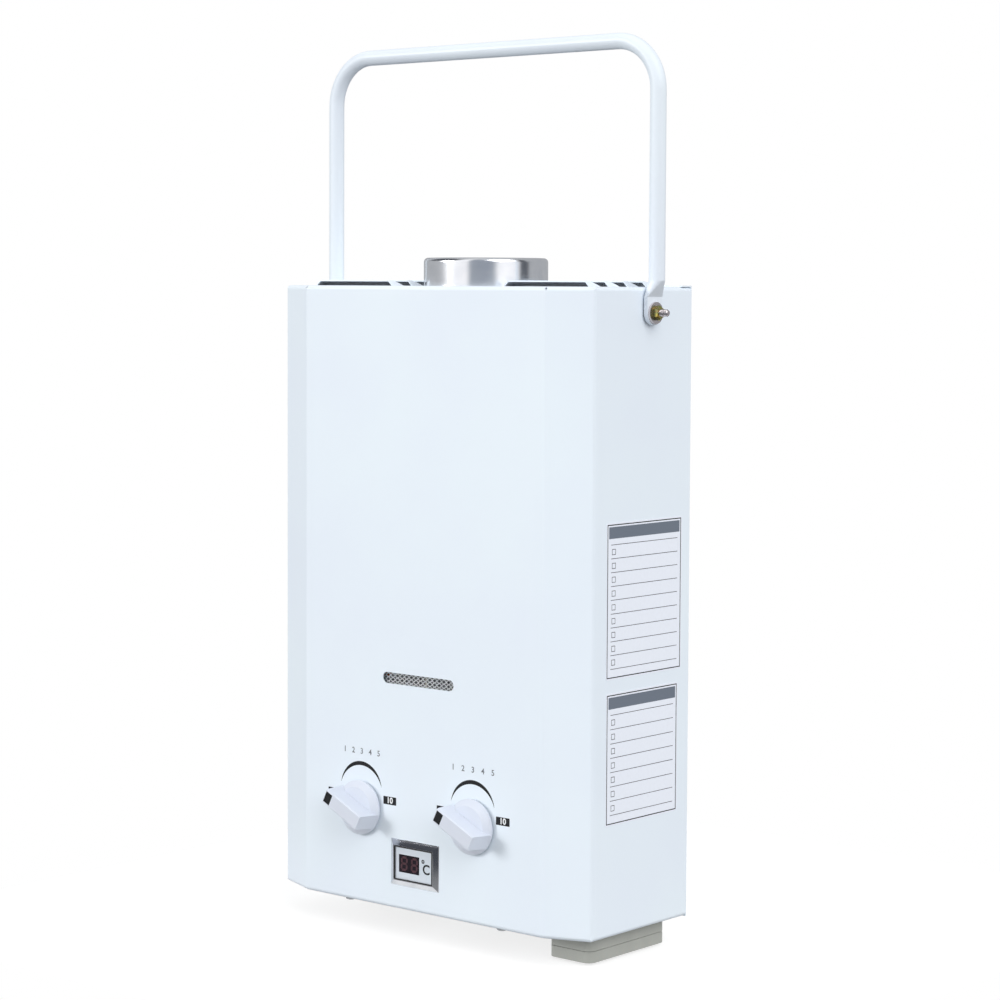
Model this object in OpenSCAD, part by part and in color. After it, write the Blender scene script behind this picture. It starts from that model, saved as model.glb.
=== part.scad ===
// Portable propane water heater. A folded sheet casing hangs on a wall and holds a row burner, a
// combustion chamber with a copper heat exchanger, a linked water and gas valve, and a battery igniter.
// Origin: centre of the hanging hole on the rear face. +X right, +Y towards the wall, +Z up.
// All lengths are millimetres. Heights inside from_base() are counted from the casing's bottom edge.

/* [Casing] */
// Width over the side walls
body_w = 290; // [280:1:310]
// Height from the bottom edge to the top plate
body_h = 443; // [440:1:470]
// Depth from the wall to the flat front
body_d = 120; // [119:0.5:126]
// Width of the slanted strip on each side of the flat front
strip_w = 33; // [24:1:40]
// Depth of the slanted strip
strip_d = 13; // [8:1:16]
// Thickness of the casing sheet
sheet_t = 1; // [0.8:0.1:1.2]
// Outer radius of the folded edges
bend_r = 3; // [2:0.5:4]
// Height of the hanging hole above the bottom edge
hang_h = 400; // [396:1:406]
// Inward return of the cover along its bottom edge
return_w = 9; // [6:1:10]

/* [Top] */
// Outer diameter of the flue collar
flue_d = 89; // [84:1:92]
// Height of the flue collar above the top plate
flue_h = 20; // [14:1:28]
// Rows of louvres beside the collar
louvre_rows = 4; // [3:1:4]
// Length of one louvre
louvre_l = 76; // [60:1:78]
// Height of the louvre's mouth
louvre_h = 4; // [3:0.5:5]
// Distance between rows
louvre_pitch = 21; // [18:0.5:22]

/* [Front controls] */
// Horizontal place of the fire knob
fire_x = -56.5; // [-60:0.5:-54]
// Horizontal place of the water knob
water_x = 49.5; // [46:0.5:54]
// Height of both knob axes and of the valve's main axis
knob_z = 69; // [66:0.5:72]
// Diameter of the knob's skirt
knob_d = 39; // [34:1:42]
// How far the knob's grip stands out from the front
knob_out = 20; // [16:1:22]
// Angle of the grip's pointer at rest, counter-clockwise from the right
pointer_deg = 154; // [150:1:180]
// Width of the viewing slot
slot_w = 67; // [50:1:70]
// Height of the viewing slot
slot_h = 7.8; // [6:0.2:10]
// Height of the slot's centre
slot_z = 165; // [162:0.5:167]
// Width of the display bezel
bezel_w = 45.5; // [42:0.5:50]
// Height of the display bezel
bezel_h = 33; // [30:0.5:36]
// Height of the bezel's centre
bezel_z = 34; // [32:0.5:36]

/* [Carry handle] */
// Diameter of the handle's tube
handle_d = 11.2; // [10:0.1:11.4]
// Distance between the arms' centre lines
handle_span = 302; // [302:0.5:304]
// Distance from the pivot to the crossbar's centre line
handle_reach = 185.8; // [170:0.2:200]
// Centre-line radius of the top corners
handle_bend = 34.5; // [28:0.5:40]
// Height of the pivots above the bottom edge
pivot_z = 425.3; // [424:0.1:428]
// Distance of the pivots in front of the wall
pivot_y = 48; // [44:0.5:52]
// Diameter of the pivot bolts
pivot_d = 6; // [5:1:6]

/* [Battery box] */
// Width of the box
battery_w = 37; // [37:0.5:40]
// Depth of the box
battery_l = 86; // [82:1:88]
// Centre of the box, right of the middle
battery_x = 115.5; // [113:0.5:116]
// How far the closed box reaches below the casing
battery_drop = 18.5; // [16:0.5:24]
// Thickness of the hinged lid
lid_t = 7.8; // [7:0.1:9]

/* [Hidden] */
$fn = 64;

// Gap left where a piece slides past or is dropped into another
gap = 0.3;
// Radial clearance of a shaft in its bearing
run_fit = 0.05;
// How far a cutting solid runs past what it cuts
over = 1;

strip_a = atan(strip_d / strip_w);
slot_x = -2.4;
bezel_x = -4.5;
flue_y = -body_d / 2 + 9;
louvre_x = louvre_l / 2 + 52.4;
louvre_front = -body_d + 27;
louvre_depth = 12;
louvre_r = (louvre_depth * louvre_depth + louvre_h * louvre_h) / (2 * louvre_h);
flange_w = 11;

// Burner, chamber and exchanger, one above the other
stack_w = 170;
stack_d = 82;
stack_y = -body_d / 2 + 1;
tray_z = 110;
tray_h = 40;
tray_grow = 2;
bar_top = 158;
bar_pitch = 15;
bar_count = 10;
bar_w = 8;
chamber_z = 172;
chamber_h = 158;
shell_h = 54;
tube_z = 357;
tube_r = 7;
tube_pitch = 16;
coil_r = 6;
coil_bend = 9;
coil_x = 98;
coil_front = -body_d + 10.5;
coil_back = -9.5;
coil_z = [205, 262];
riser_end = 300;
thermostat_z = 313;

// Valve
valve_y = -62;
inlet_y = stack_y + 2 * tube_pitch;
hot_x = -100;
hot_pipe_x = -120;
thread_r = 10.48;
thread_l = 20;
screw_head = 1.5;
corner_hole = 0.8;
mesh_back = 1.8;
mesh_t = 0.6;
mesh_pitch = 4.5;
pipe_wall = 1;
rod_r = 2.5;
stem_r = 3;
diaphragm_x = 13;
diaphragm_d = 70;
diaphragm_t = 1.5;
riser_x = -35;
manifold_y = -111;
manifold_z = 124;
manifold_s = 12;

// Knob, in its own frame: +Z out of the front, +X along the pointer
knob_gap = 1;
skirt_h = 7;
grip_w = 11.6;
mark_l = 6.2;
mark_w = 8.3;
mark_t = 0.4;

// Display
window_w = 19.4;
window_h = 12.8;
window_dx = -4.2;

// Battery box
cell_d = 33.5;
cell_h = 60;
cell_step = 18.5;
box_wall = 1.6;
box_top = 60;
box_y = -body_d + 25 + battery_l / 2;
box_z = -battery_drop + lid_t + gap;
hinge_y = box_y + battery_l / 2 - 4.5;
hinge_z = -battery_drop + lid_t / 2;
hinge_r = 1;
ear_t = 4;
ear_x = 12;
pin_half = 16;

// Handle
plate_t = 3;
plate_w = 16.5;
plate_x = body_w / 2 + 1.4;
bolt_end = 161;

// Colours seen in the photograph, and plain metal colours inside
white_paint = [0.93, 0.95, 0.99];
white_plastic = [0.94, 0.95, 0.98];
grey_plastic = [0.62, 0.65, 0.65];
black_plastic = [0.06, 0.06, 0.07];
steel = [0.75, 0.76, 0.78];
zinc = [0.82, 0.76, 0.52];
copper = [0.80, 0.45, 0.30];
brass = [0.80, 0.66, 0.36];
cast_alloy = [0.68, 0.69, 0.70];
rubber = [0.12, 0.12, 0.12];
ceramic = [0.93, 0.91, 0.86];
board_green = [0.10, 0.35, 0.18];

module from_base() translate([0, 0, -hang_h]) children();

module mirrored() {
    children();
    mirror([1, 0, 0]) children();
}

// ---- outlines with rounded corners ----

function unit(v) = v / norm(v);

// Points of the arc of radius r that rounds corner b between its neighbours a and c
function corner_arc(a, b, c, r, steps = 4) =
    let (
        u = unit(a - b),
        v = unit(c - b),
        half = acos(u * v) / 2,
        centre = b + unit(u + v) * r / sin(half),
        start = b + u * r / tan(half) - centre,
        stop = b + v * r / tan(half) - centre,
        from = atan2(start.y, start.x),
        turn = (atan2(stop.y, stop.x) - from + 540) % 360 - 180
    )
    [for (i = [0:steps]) centre + r * [cos(from + turn * i / steps), sin(from + turn * i / steps)]];

// An outline whose corners are rounded by the radius given for each, 0 for a sharp one
function rounded(pts, radii) =
    [for (i = [0:len(pts) - 1])
        each radii[i] == 0
            ? [pts[i]]
            : corner_arc(pts[(i + len(pts) - 1) % len(pts)], pts[i], pts[(i + 1) % len(pts)], radii[i])];

// Rectangle with true round corners
module round_rect(w, h, r) {
    square([w - 2 * r, h], center = true);
    square([w, h - 2 * r], center = true);
    for (x = [-1, 1], y = [-1, 1])
        translate([x * (w / 2 - r), y * (h / 2 - r)]) circle(r);
}

// Slot with round ends, w from end to end
module obround(w, h) {
    square([w - h, h], center = true);
    for (x = [-1, 1])
        translate([x * (w - h) / 2, 0]) circle(h / 2);
}

// Stands a plane shape up on a face whose outward side is the front, and gives it a thickness inwards
module on_front(x, y, z, t) translate([x, y + t, z]) rotate([90, 0, 0]) linear_extrude(t) children();

// A round bar from (x, y, z) along an axis given by a turn of the Z axis
module bar_x(x, y, z, r, l) translate([x, y, z]) rotate([0, 90, 0]) cylinder(r = r, h = l);
module bar_y(x, y, z, r, l) translate([x, y, z]) rotate([-90, 0, 0]) cylinder(r = r, h = l);
module bar_z(x, y, z, r, l) translate([x, y, z]) cylinder(r = r, h = l);

// ---- pipes bent round true arcs ----

function cut_back(pts, i, bend) =
    i == 0 || i == len(pts) - 1
        ? 0
        : bend * tan(acos(unit(pts[i] - pts[i - 1]) * unit(pts[i + 1] - pts[i])) / 2);

// Puts a child drawn in the frame of axes x, y, z at the point p
module in_axes(p, x, y, z)
    multmatrix([
        [x[0], y[0], z[0], p[0]],
        [x[1], y[1], z[1], p[1]],
        [x[2], y[2], z[2], p[2]]
    ])
        children();

// Section of a round bar of radius r, or of a pipe when it has a bore
module section(r, bore) difference() {
    circle(r);
    if (bore > 0)
        circle(bore);
}

// A round bar or pipe of radius r through the points, each corner bent to the centre-line radius bend
module bent_pipe(pts, r, bend, bore = 0) {
    last = len(pts) - 1;
    for (i = [0:last - 1]) {
        along = unit(pts[i + 1] - pts[i]);
        side = unit(cross(along, abs(along.z) < 0.9 ? [0, 0, 1] : [1, 0, 0]));
        back = cut_back(pts, i, bend);
        run = norm(pts[i + 1] - pts[i]) - back - cut_back(pts, i + 1, bend);
        if (run > 0.001)
            in_axes(pts[i] + along * back, side, cross(along, side), along)
                linear_extrude(run) section(r, bore);
    }
    for (i = [1:1:last - 1]) {
        into = unit(pts[i] - pts[i - 1]);
        away = unit(pts[i + 1] - pts[i]);
        inward = unit(away - into * (away * into));
        centre = pts[i] - into * cut_back(pts, i, bend) + inward * bend;
        in_axes(centre, -inward, into, cross(into, inward))
            rotate_extrude(angle = acos(into * away)) translate([bend, 0]) section(r, bore);
    }
}

// A bent pipe with the usual wall, open at both ends
module bent_tube(pts, r, bend) bent_pipe(pts, r, bend, r - pipe_wall);

// ---- casing ----

// Plan of the cover, set in by an amount, and running back to y = back
function case_plan(inset, back) =
    let (
        side = body_w / 2 - inset,
        front = body_w / 2 - strip_w - inset * tan(strip_a / 2),
        shoulder = -body_d + strip_d + inset * tan(45 - strip_a / 2)
    )
    [[side, back], [-side, back], [-side, shoulder], [-front, inset - body_d],
        [front, inset - body_d], [side, shoulder]];

module case_outline(inset, back) {
    r = bend_r - min(inset, sheet_t);
    polygon(rounded(case_plan(inset, back), [0, 0, r, r, r, r]));
}

// Takes the sharp edge off a straight fold that runs along X, material behind and below it
module fold_cutter() rotate([90, 0, 90]) linear_extrude(body_w + 2 * over, center = true)
    difference() {
        translate([-over, -bend_r]) square(bend_r + over);
        translate([bend_r, -bend_r]) circle(bend_r);
    }

module all_fold_cutters() {
    shoulder = body_w / 2 - strip_w / 2;
    places = [
        [0, -body_d, 0],
        [shoulder, -body_d + strip_d / 2, strip_a],
        [-shoulder, -body_d + strip_d / 2, -strip_a],
        [body_w / 2, -body_d / 2, 90],
        [-body_w / 2, -body_d / 2, -90]
    ];
    for (p = places) translate([p.x, p.y, 0]) rotate([0, 0, p.z]) {
        translate([0, 0, body_h]) fold_cutter();
        mirror([0, 0, 1]) fold_cutter();
    }
}

module louvre_places() mirrored()
    for (row = [0:louvre_rows - 1])
        translate([louvre_x, louvre_front + row * louvre_pitch, body_h]) children();

// Pressed hood of one louvre: a curved roof with hipped ends, its skin set in by an amount
module louvre_form(inset) intersection() {
    rotate([90, 0, 90]) linear_extrude(louvre_l + 2 * over, center = true) intersection() {
        translate([0, louvre_h - louvre_r]) circle(louvre_r - inset);
        translate([inset > 0 ? -over / 2 : 0, -sheet_t - inset]) square([louvre_depth, 2 * louvre_h]);
    }
    rotate([90, 0, 0]) linear_extrude(3 * louvre_depth, center = true) polygon([
        [-louvre_l / 2 + inset, -2 * sheet_t],
        [-louvre_l / 2 + inset, 0],
        [-louvre_l / 2 + inset + louvre_h, louvre_h],
        [louvre_l / 2 - inset - louvre_h, louvre_h],
        [louvre_l / 2 - inset, 0],
        [louvre_l / 2 - inset, -2 * sheet_t]
    ]);
}

module screw_places_top() mirrored() translate([100, -flange_w / 2, body_h + sheet_t]) children();
module screw_places_bottom() mirrored() translate([72, -body_d + 5.5, 0]) mirror([0, 0, 1]) children();

module front_cover() color(white_paint) from_base() {
    difference() {
        linear_extrude(body_h) case_outline(0, -sheet_t);
        translate([0, 0, sheet_t]) linear_extrude(body_h - 2 * sheet_t) case_outline(sheet_t, over);
        translate([0, 0, -over]) linear_extrude(sheet_t + 2 * over) case_outline(return_w, over);
        all_fold_cutters();
        on_front(slot_x, -body_d - over, slot_z, 3 * over) obround(slot_w, slot_h);
        for (x = [fire_x, water_x])
            bar_y(x, -body_d - over, knob_z, 6.5, 3 * over);
        on_front(bezel_x, -body_d - over, bezel_z, 3 * over)
            square([bezel_w - 8, bezel_h - 8], center = true);
        bar_z(0, flue_y, body_h - 2 * over, flue_d / 2 + 0.2, 3 * over);
        mirrored() bar_z(body_w / 2 - strip_w, -body_d + 1, body_h - 4 * over, corner_hole, 5 * over);
        mirrored() bar_x(body_w / 2 - 2 * over, -pivot_y, pivot_z, pivot_d / 2, 3 * over);
        screw_places_top() bar_z(0, 0, -3 * over, 2, 3 * over);
        screw_places_bottom() bar_z(0, 0, -3 * over, 2, 4 * over);
        louvre_places() louvre_form(sheet_t);
    }
    louvre_places() difference() {
        louvre_form(0);
        louvre_form(sheet_t);
    }
}

module keyhole() {
    circle(5);
    translate([-2.5, 0]) square([5, 8]);
    translate([0, 8]) circle(2.5);
}

module back_panel() color(white_paint) from_base() difference() {
    union() {
        on_front(0, -sheet_t, body_h / 2, sheet_t) square([body_w, body_h], center = true);
        translate([-body_w / 2, -flange_w, body_h]) cube([body_w, flange_w, sheet_t]);
        mirrored() translate([body_w / 2 - 2 * sheet_t - gap, -14, 12]) cube([sheet_t, 14, body_h - 24]);
    }
    on_front(0, -sheet_t - over, hang_h, 3 * over) keyhole();
    for (x = [-110, 110])
        bar_y(x, -sheet_t - over, 30, 3, 3 * over);
    for (x = [-1, 1], row = [0:4])
        on_front(x * 55, -sheet_t - over, 72 + row * 12, 3 * over) obround(56, 5);
    screw_places_top() bar_z(0, 0, -3 * over, 2, 4 * over);
    bar_z(0, flue_y, body_h - over, flue_d / 2 + 0.4, 3 * over);
}

module battery_plan(grow) translate([battery_x, box_y])
    round_rect(battery_w + 2 * grow, battery_l + 2 * grow, 6 + grow);

module bottom_plate() color(steel) from_base() difference() {
    union() {
        translate([0, 0, sheet_t]) linear_extrude(sheet_t) case_outline(sheet_t + gap, -sheet_t);
        translate([-120, -2 * sheet_t, sheet_t]) cube([200, sheet_t, 12]);
    }
    for (x = [fire_x, water_x, hot_x])
        bar_z(x, inlet_y, -over, thread_r + 0.4, 4 * over);
    bar_z(water_x + 27, inlet_y, -over, 6, 4 * over);
    translate([0, 0, -over]) linear_extrude(4 * over) battery_plan(gap);
    for (x = [-1, 1], row = [0:2])
        translate([x * 40 - 8, -100 + row * 12, -over]) linear_extrude(4 * over) obround(60, 5);
    screw_places_bottom() bar_z(0, 0, -3 * over, 2, 4 * over);
}

// Pan-head screw, its head standing on the plane z = 0
module pan_screw() {
    h = screw_head;
    rotate_extrude() polygon([[0, 0], [3.8, 0], [3.8, 0.4 * h], [3.1, 0.8 * h], [1.8, h], [0, h]]);
    translate([0, 0, -7]) cylinder(r = 2, h = 7);
}

module cover_screws() color(steel) from_base() {
    screw_places_top() pan_screw();
    screw_places_bottom() pan_screw();
}

// Folded straps that carry the burner tray and the exchanger shell on the back panel
module chassis_brackets() color(steel) from_base() mirrored()
    for (place = [[tray_z + 8, tray_grow], [chamber_z + chamber_h + 14, 0]]) {
        z = place[0];
        rear = stack_y + stack_d / 2 + place[1];
        translate([62, rear, z]) cube([20, 1.5, 16]);
        translate([80.5, rear, z]) cube([1.5, -sheet_t - rear, 16]);
        translate([80.5, -sheet_t - 1.5, z]) cube([20, 1.5, 16]);
    }

// Strip with diamond holes a little way behind the viewing slot, its long edges folded forward to the cover
module sight_mesh() color(steel) from_base() {
    w = slot_w + 14;
    h = slot_h + 10;
    on_front(slot_x, -body_d + sheet_t + mesh_back, slot_z, mesh_t) difference() {
        square([w, h], center = true);
        for (row = [-2:2], i = [-8:8])
            translate([(i + abs(row) % 2 / 2) * mesh_pitch, row * mesh_pitch / 2])
                rotate(45) square(mesh_pitch / 2, center = true);
    }
    for (s = [-1, 1])
        on_front(slot_x, -body_d + sheet_t, slot_z + s * (h - mesh_t) / 2, mesh_back + mesh_t)
            square([w, mesh_t], center = true);
}

module flue_collar() color(steel) from_base() translate([0, flue_y, body_h]) {
    r = flue_d / 2;
    edge = 3;
    difference() {
        rotate_extrude() difference() {
            union() {
                translate([0, -sheet_t - 1]) square([r + 4, 1]);
                translate([0, -sheet_t - 1]) square([r, flue_h + sheet_t + 1 - edge]);
                translate([0, flue_h - edge - over]) square([r - edge, edge + over]);
                translate([r - edge, flue_h - edge]) circle(edge);
            }
            translate([-over, -3 * over]) square([r - 0.8 + over, flue_h + 3 * over - edge]);
            translate([-over, flue_h - edge - over]) square([r - edge + over, edge + over - 0.8]);
        }
        for (i = [0:9])
            rotate([0, 0, i * 36]) translate([27.5, 0, flue_h - 2]) linear_extrude(4) obround(15, 8.5);
    }
}

// Hood that gathers the burnt gas from the exchanger into the collar
module flue_hood() color(steel) from_base() {
    low = chamber_z + chamber_h + shell_h;
    high = body_h - sheet_t - 1;
    difference() {
        hood_form(low, high, 0);
        hood_form(low - over, high + over, sheet_t);
    }
}

module hood_form(low, high, inset) {
    hull($fn = 32) {
        translate([0, stack_y, low + 8]) linear_extrude(1)
            square([stack_w + 4 - 2 * inset, stack_d + 4 - 2 * inset], center = true);
        translate([0, flue_y, high - 13]) cylinder(r = flue_d / 2 - 4 - inset, h = 1);
    }
    translate([0, stack_y, low]) linear_extrude(9)
        square([stack_w + 4 - 2 * inset, stack_d + 4 - 2 * inset], center = true);
    translate([0, flue_y, high - 13]) cylinder(r = flue_d / 2 - 4 - inset, h = 13);
}

// ---- chamber and exchanger ----

// Upright rectangular sleeve with round corners round the burner stack
module sleeve(grow, t, h) linear_extrude(h) difference() {
    round_rect(stack_w + 2 * grow, stack_d + 2 * grow, 5);
    round_rect(stack_w + 2 * (grow - t), stack_d + 2 * (grow - t), 5 - t);
}

module combustion_chamber() color(copper) from_base() translate([0, stack_y, chamber_z]) {
    sleeve(0, sheet_t, chamber_h);
    sleeve(2.5, 3, sheet_t);
    translate([0, 0, chamber_h - sheet_t]) sleeve(2.5, 3, sheet_t);
    for (z = [52, 66, 110, 124])
        translate([0, 0, z]) sleeve(0.8, 1.3, 3);
}

module tube_rows() for (i = [-2:2])
    translate([0, stack_y + i * tube_pitch, tube_z]) children();

module exchanger_shell() color(copper) from_base() difference() {
    translate([0, stack_y, chamber_z + chamber_h]) {
        sleeve(0, sheet_t, shell_h);
        sleeve(2.5, 3, sheet_t);
    }
    tube_rows() bar_x(-stack_w, 0, 0, tube_r, 2 * stack_w);
}

module exchanger_fins() color(copper) from_base() difference() {
    for (i = [-11:11])
        translate([i * 7, stack_y, chamber_z + chamber_h + 4]) rotate([90, 0, 90])
            linear_extrude(0.8, center = true) difference() {
                translate([0, 22]) square([stack_d - 2 * sheet_t, 44], center = true);
                for (j = [-1.5:1.5])
                    translate([j * tube_pitch, 0]) circle(5);
            }
    tube_rows() bar_x(-stack_w, 0, 0, tube_r, 2 * stack_w);
}

// Row ends of the serpentine, from the inlet at the front right to the outlet at the back left
function serpentine(end) = [
    for (i = [0:4])
        let (y = stack_y + (i - 2) * tube_pitch, s = i % 2 == 0 ? 1 : -1)
        each [[s * end, y, tube_z], [-s * end, y, tube_z]]
];

module exchanger_tubes() color(copper) from_base() {
    rows = serpentine(104);
    first = [coil_x, rows[0].y, 0];
    final = [hot_pipe_x, rows[9].y, 0];
    bent_tube(concat(
        [first + [0, 0, riser_end], first + [0, 0, tube_z]],
        [for (i = [1:8]) rows[i]],
        [final + [0, 0, tube_z], final + [0, 0, riser_end]]
    ), tube_r, tube_pitch / 2);
}

module chamber_coil() color(copper) from_base() {
    start_y = valve_y;
    end_y = stack_y - 2 * tube_pitch;
    low = coil_z[0];
    high = coil_z[1];
    bent_tube([
        [coil_x, start_y, 120],
        [coil_x, start_y, low],
        [coil_x, coil_front, low],
        [-coil_x, coil_front, low],
        [-coil_x, coil_back, low],
        [coil_x, coil_back, low],
        [coil_x, coil_back, high],
        [-coil_x, coil_back, high],
        [-coil_x, coil_front, high],
        [coil_x, coil_front, high],
        [coil_x, end_y, high],
        [coil_x, end_y, riser_end]
    ], coil_r, coil_bend);
}

// ---- burner ----

module bar_places() for (i = [0:bar_count - 1])
    translate([(i - (bar_count - 1) / 2) * bar_pitch, stack_y, 0]) children();

module burner_tray() color(steel) from_base() difference() {
    translate([0, stack_y, tray_z]) {
        sleeve(tray_grow, sheet_t, tray_h);
        sleeve(tray_grow + 3, 4, sheet_t);
        difference() {
            linear_extrude(sheet_t) round_rect(stack_w + 3, stack_d + 3, 4);
            for (i = [-5:5])
                translate([i * bar_pitch, 0, -over]) linear_extrude(3 * over) rotate(90) obround(58, 6);
        }
    }
    bar_places() bar_y(0, -stack_d, manifold_z, 5.5, stack_d);
    for (x = [-1, 1])
        translate([x * bar_pitch, stack_y - 38, tray_z - over]) cylinder(r = 3, h = 3 * over);
}

// Side view of one burner bar: venturi mouth at the front, throat, then the mixing chamber. t sets it in.
module bar_side(t) {
    mouth = -stack_d / 2 + 3 + t;
    rear = stack_d / 2 - 3 - t;
    top = bar_top - 4 - t;
    polygon(concat(
        [[mouth, manifold_z - 6 + t]],
        [for (i = [0:6]) [mouth + 4 + i * 6, manifold_z - 3.2 + t - 1.6 * cos(i * 30)]],
        [[rear - 10, manifold_z - 7 + t], [rear, manifold_z + 2], [rear, top]],
        [[mouth + 8, top], [mouth, top - 10], [mouth, manifold_z + 6]]
    ));
}

module burner_bars() color(steel) from_base() bar_places() difference() {
    union() {
        rotate([90, 0, 90]) linear_extrude(bar_w, center = true) bar_side(0);
        translate([0, 4, bar_top - 4]) linear_extrude(4) rotate(90) obround(stack_d - 16, 5);
    }
    rotate([90, 0, 90]) linear_extrude(bar_w - 2, center = true) bar_side(1);
    bar_y(0, -stack_d / 2, manifold_z, 3, 14);
    for (i = [-4:4])
        translate([-bar_w / 2, 4 + i * 7 - 0.8, bar_top - 2.5]) cube([bar_w, 1.6, 4]);
}

module gas_manifold() color(cast_alloy) from_base() {
    difference() {
        translate([-bar_count * bar_pitch / 2 - 4, manifold_y - manifold_s / 2, manifold_z - manifold_s / 2])
            cube([bar_count * bar_pitch + 8, manifold_s, manifold_s]);
        bar_x(-bar_count * bar_pitch / 2 - 5, manifold_y, manifold_z, 4, bar_count * bar_pitch + 4);
    }
    bar_places() {
        y = manifold_y + manifold_s / 2 - stack_y;
        bar_y(0, y, manifold_z, 3, 2.5);
        bar_y(0, y + 2.5, manifold_z, 1.8, 2.5);
    }
}

module gas_riser() color(cast_alloy) from_base()
    bent_tube([
        [riser_x, valve_y, knob_z + 18],
        [riser_x, valve_y, knob_z + 32],
        [riser_x, manifold_y, knob_z + 32],
        [riser_x, manifold_y, manifold_z - manifold_s / 2]
    ], 5, 8);

// ---- valve ----

module gas_valve() color(cast_alloy) from_base() difference() {
    union() {
        bar_x(-80, valve_y, knob_z, 17, 56);
        bar_x(-82, valve_y, knob_z, 20, 4);
        bar_x(-27, valve_y, knob_z, 21, 5);
        bar_y(fire_x, -98, knob_z, 12, 36);
        bar_y(fire_x, -98, knob_z, 14, 4);
        bar_z(riser_x, valve_y, knob_z, 10, 18);
        bent_pipe([[fire_x, valve_y, knob_z], [fire_x, inlet_y, knob_z], [fire_x, inlet_y, 20]], 9, 10);
        for (a = [45:90:315])
            bar_x(-27, valve_y + 17 * cos(a), knob_z + 17 * sin(a), 4, 5);
    }
    bar_y(fire_x, -98 - over, knob_z, stem_r + run_fit, 16 + over);
    bar_x(-40, valve_y, knob_z, rod_r + run_fit, 20);
    bar_x(-74, valve_y, knob_z, 11, 30);
    bent_pipe([[fire_x, valve_y, knob_z], [fire_x, inlet_y, knob_z], [fire_x, inlet_y, 20 - over]], 5, 10);
}

module solenoid_valve() color(brass) from_base() {
    bar_x(-86, valve_y, knob_z, 9, 4);
    bar_x(-108, valve_y, knob_z, 11, 22);
    bar_x(-112, valve_y, knob_z, 4, 4);
}

// Half of the round diaphragm housing, its flat mouth at x = 0 and its back towards +X
module housing_half() {
    r = diaphragm_d / 2;
    rotate([0, 90, 0]) difference() {
        union() {
            cylinder(r = r, h = 4);
            cylinder(r = r - 9, h = 12);
            translate([0, 0, 12]) rotate_extrude() polygon([[0, -1], [r - 9, -1], [r - 13, 4], [0, 4]]);
            for (i = [0:5])
                rotate([0, 0, i * 60]) translate([r - 3, 0, 0]) cylinder(r = 5, h = 5);
        }
        for (i = [0:5])
            rotate([0, 0, i * 60]) translate([r - 3, 0, -over]) cylinder(r = 2, h = 8);
        translate([0, 0, -over]) cylinder(r = r - 12, h = 9);
    }
}

module water_valve() color(brass) from_base() {
    difference() {
        union() {
            translate([diaphragm_x + diaphragm_t, valve_y, knob_z]) housing_half();
            bar_x(28, valve_y, knob_z, 14, 50);
            bar_y(water_x, -98, knob_z, 12, 36);
            bar_y(water_x, -98, knob_z, 14, 4);
            bent_pipe([[water_x, valve_y, knob_z], [water_x, inlet_y, knob_z], [water_x, inlet_y, 20]],
                9.5, 10);
            bar_z(70, valve_y, knob_z, 9, 18);
            bar_x(water_x, inlet_y, 46, 6, 27);
            bar_z(water_x + 27, inlet_y, 14, 6, 38);
        }
        bar_y(water_x, -98 - over, knob_z, stem_r + run_fit, 16 + over);
        bar_x(32, valve_y, knob_z, 9.5, 42);
        bar_z(70, valve_y, knob_z, coil_r - pipe_wall, 18 + over);
        bent_pipe([[water_x, valve_y, knob_z], [water_x, inlet_y, knob_z], [water_x, inlet_y, 20 - over]],
            5, 10);
    }
}

module diaphragm() color(rubber) from_base()
    bar_x(diaphragm_x, valve_y, knob_z, diaphragm_d / 2 - 6.5, diaphragm_t);

module diaphragm_cover() color(brass) from_base() difference() {
    union() {
        translate([diaphragm_x, valve_y, knob_z]) mirror([1, 0, 0]) housing_half();
        for (s = [-1, 1])
            translate([-22, valve_y - 6, knob_z + s * 13 - 2.5]) cube([22, 12, 5]);
    }
    bar_x(-8, valve_y, knob_z, rod_r + run_fit, 20);
}

module push_rod() color(steel) from_base() {
    bar_x(-34, valve_y, knob_z, rod_r, diaphragm_x + 33.5);
    bar_x(diaphragm_x - 2.1, valve_y, knob_z, 12, 1.6);
    bar_x(-12, valve_y, knob_z, 5, 2);
}

module microswitch() color(black_plastic) from_base() {
    translate([-22, valve_y - 4, knob_z + 15.5]) cube([18, 11.4, 10]);
    translate([-13, valve_y + 6.2, knob_z + 1]) cube([3, 1.2, 16]);
    for (x = [-20, -13, -6])
        translate([x - 0.4, valve_y - 2, knob_z + 25.5]) cube([0.8, 4, 5]);
}

// Pipe fitting that stands below the bottom plate: threaded stub, shoulder on the plate, neck
module fitting(x) translate([x, inlet_y, 0]) difference() {
    union() {
        translate([0, 0, -thread_l]) cylinder(r = thread_r, h = thread_l - 2);
        translate([0, 0, -2]) cylinder(r = thread_r - 1, h = 4);
        translate([0, 0, 2 * sheet_t]) cylinder(r = 15.6, h = 8, $fn = 6);
        cylinder(r = 8, h = 20);
    }
    translate([0, 0, -thread_l - over]) cylinder(r = 7, h = 30);
    cylinder(r = 4.5, h = 20 + over);
}

module gas_inlet() color(brass) from_base() fitting(fire_x);
module cold_inlet() color(brass) from_base() fitting(water_x);
module hot_outlet() color(brass) from_base() fitting(hot_x);

module relief_valve() color(brass) from_base() translate([water_x + 27, inlet_y, 0]) {
    translate([0, 0, -9]) cylinder(r = 8, h = 6, $fn = 6);
    translate([0, 0, -3]) cylinder(r = 5, h = 17);
    translate([0, 0, 5]) cylinder(r = 7.5, h = 4, $fn = 6);
}

module cold_pipe() color(copper) from_base()
    bent_tube([
        [70, valve_y, knob_z + 18],
        [70, valve_y, knob_z + 31],
        [coil_x, valve_y, knob_z + 31],
        [coil_x, valve_y, 120]
    ], coil_r, 9);

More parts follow.
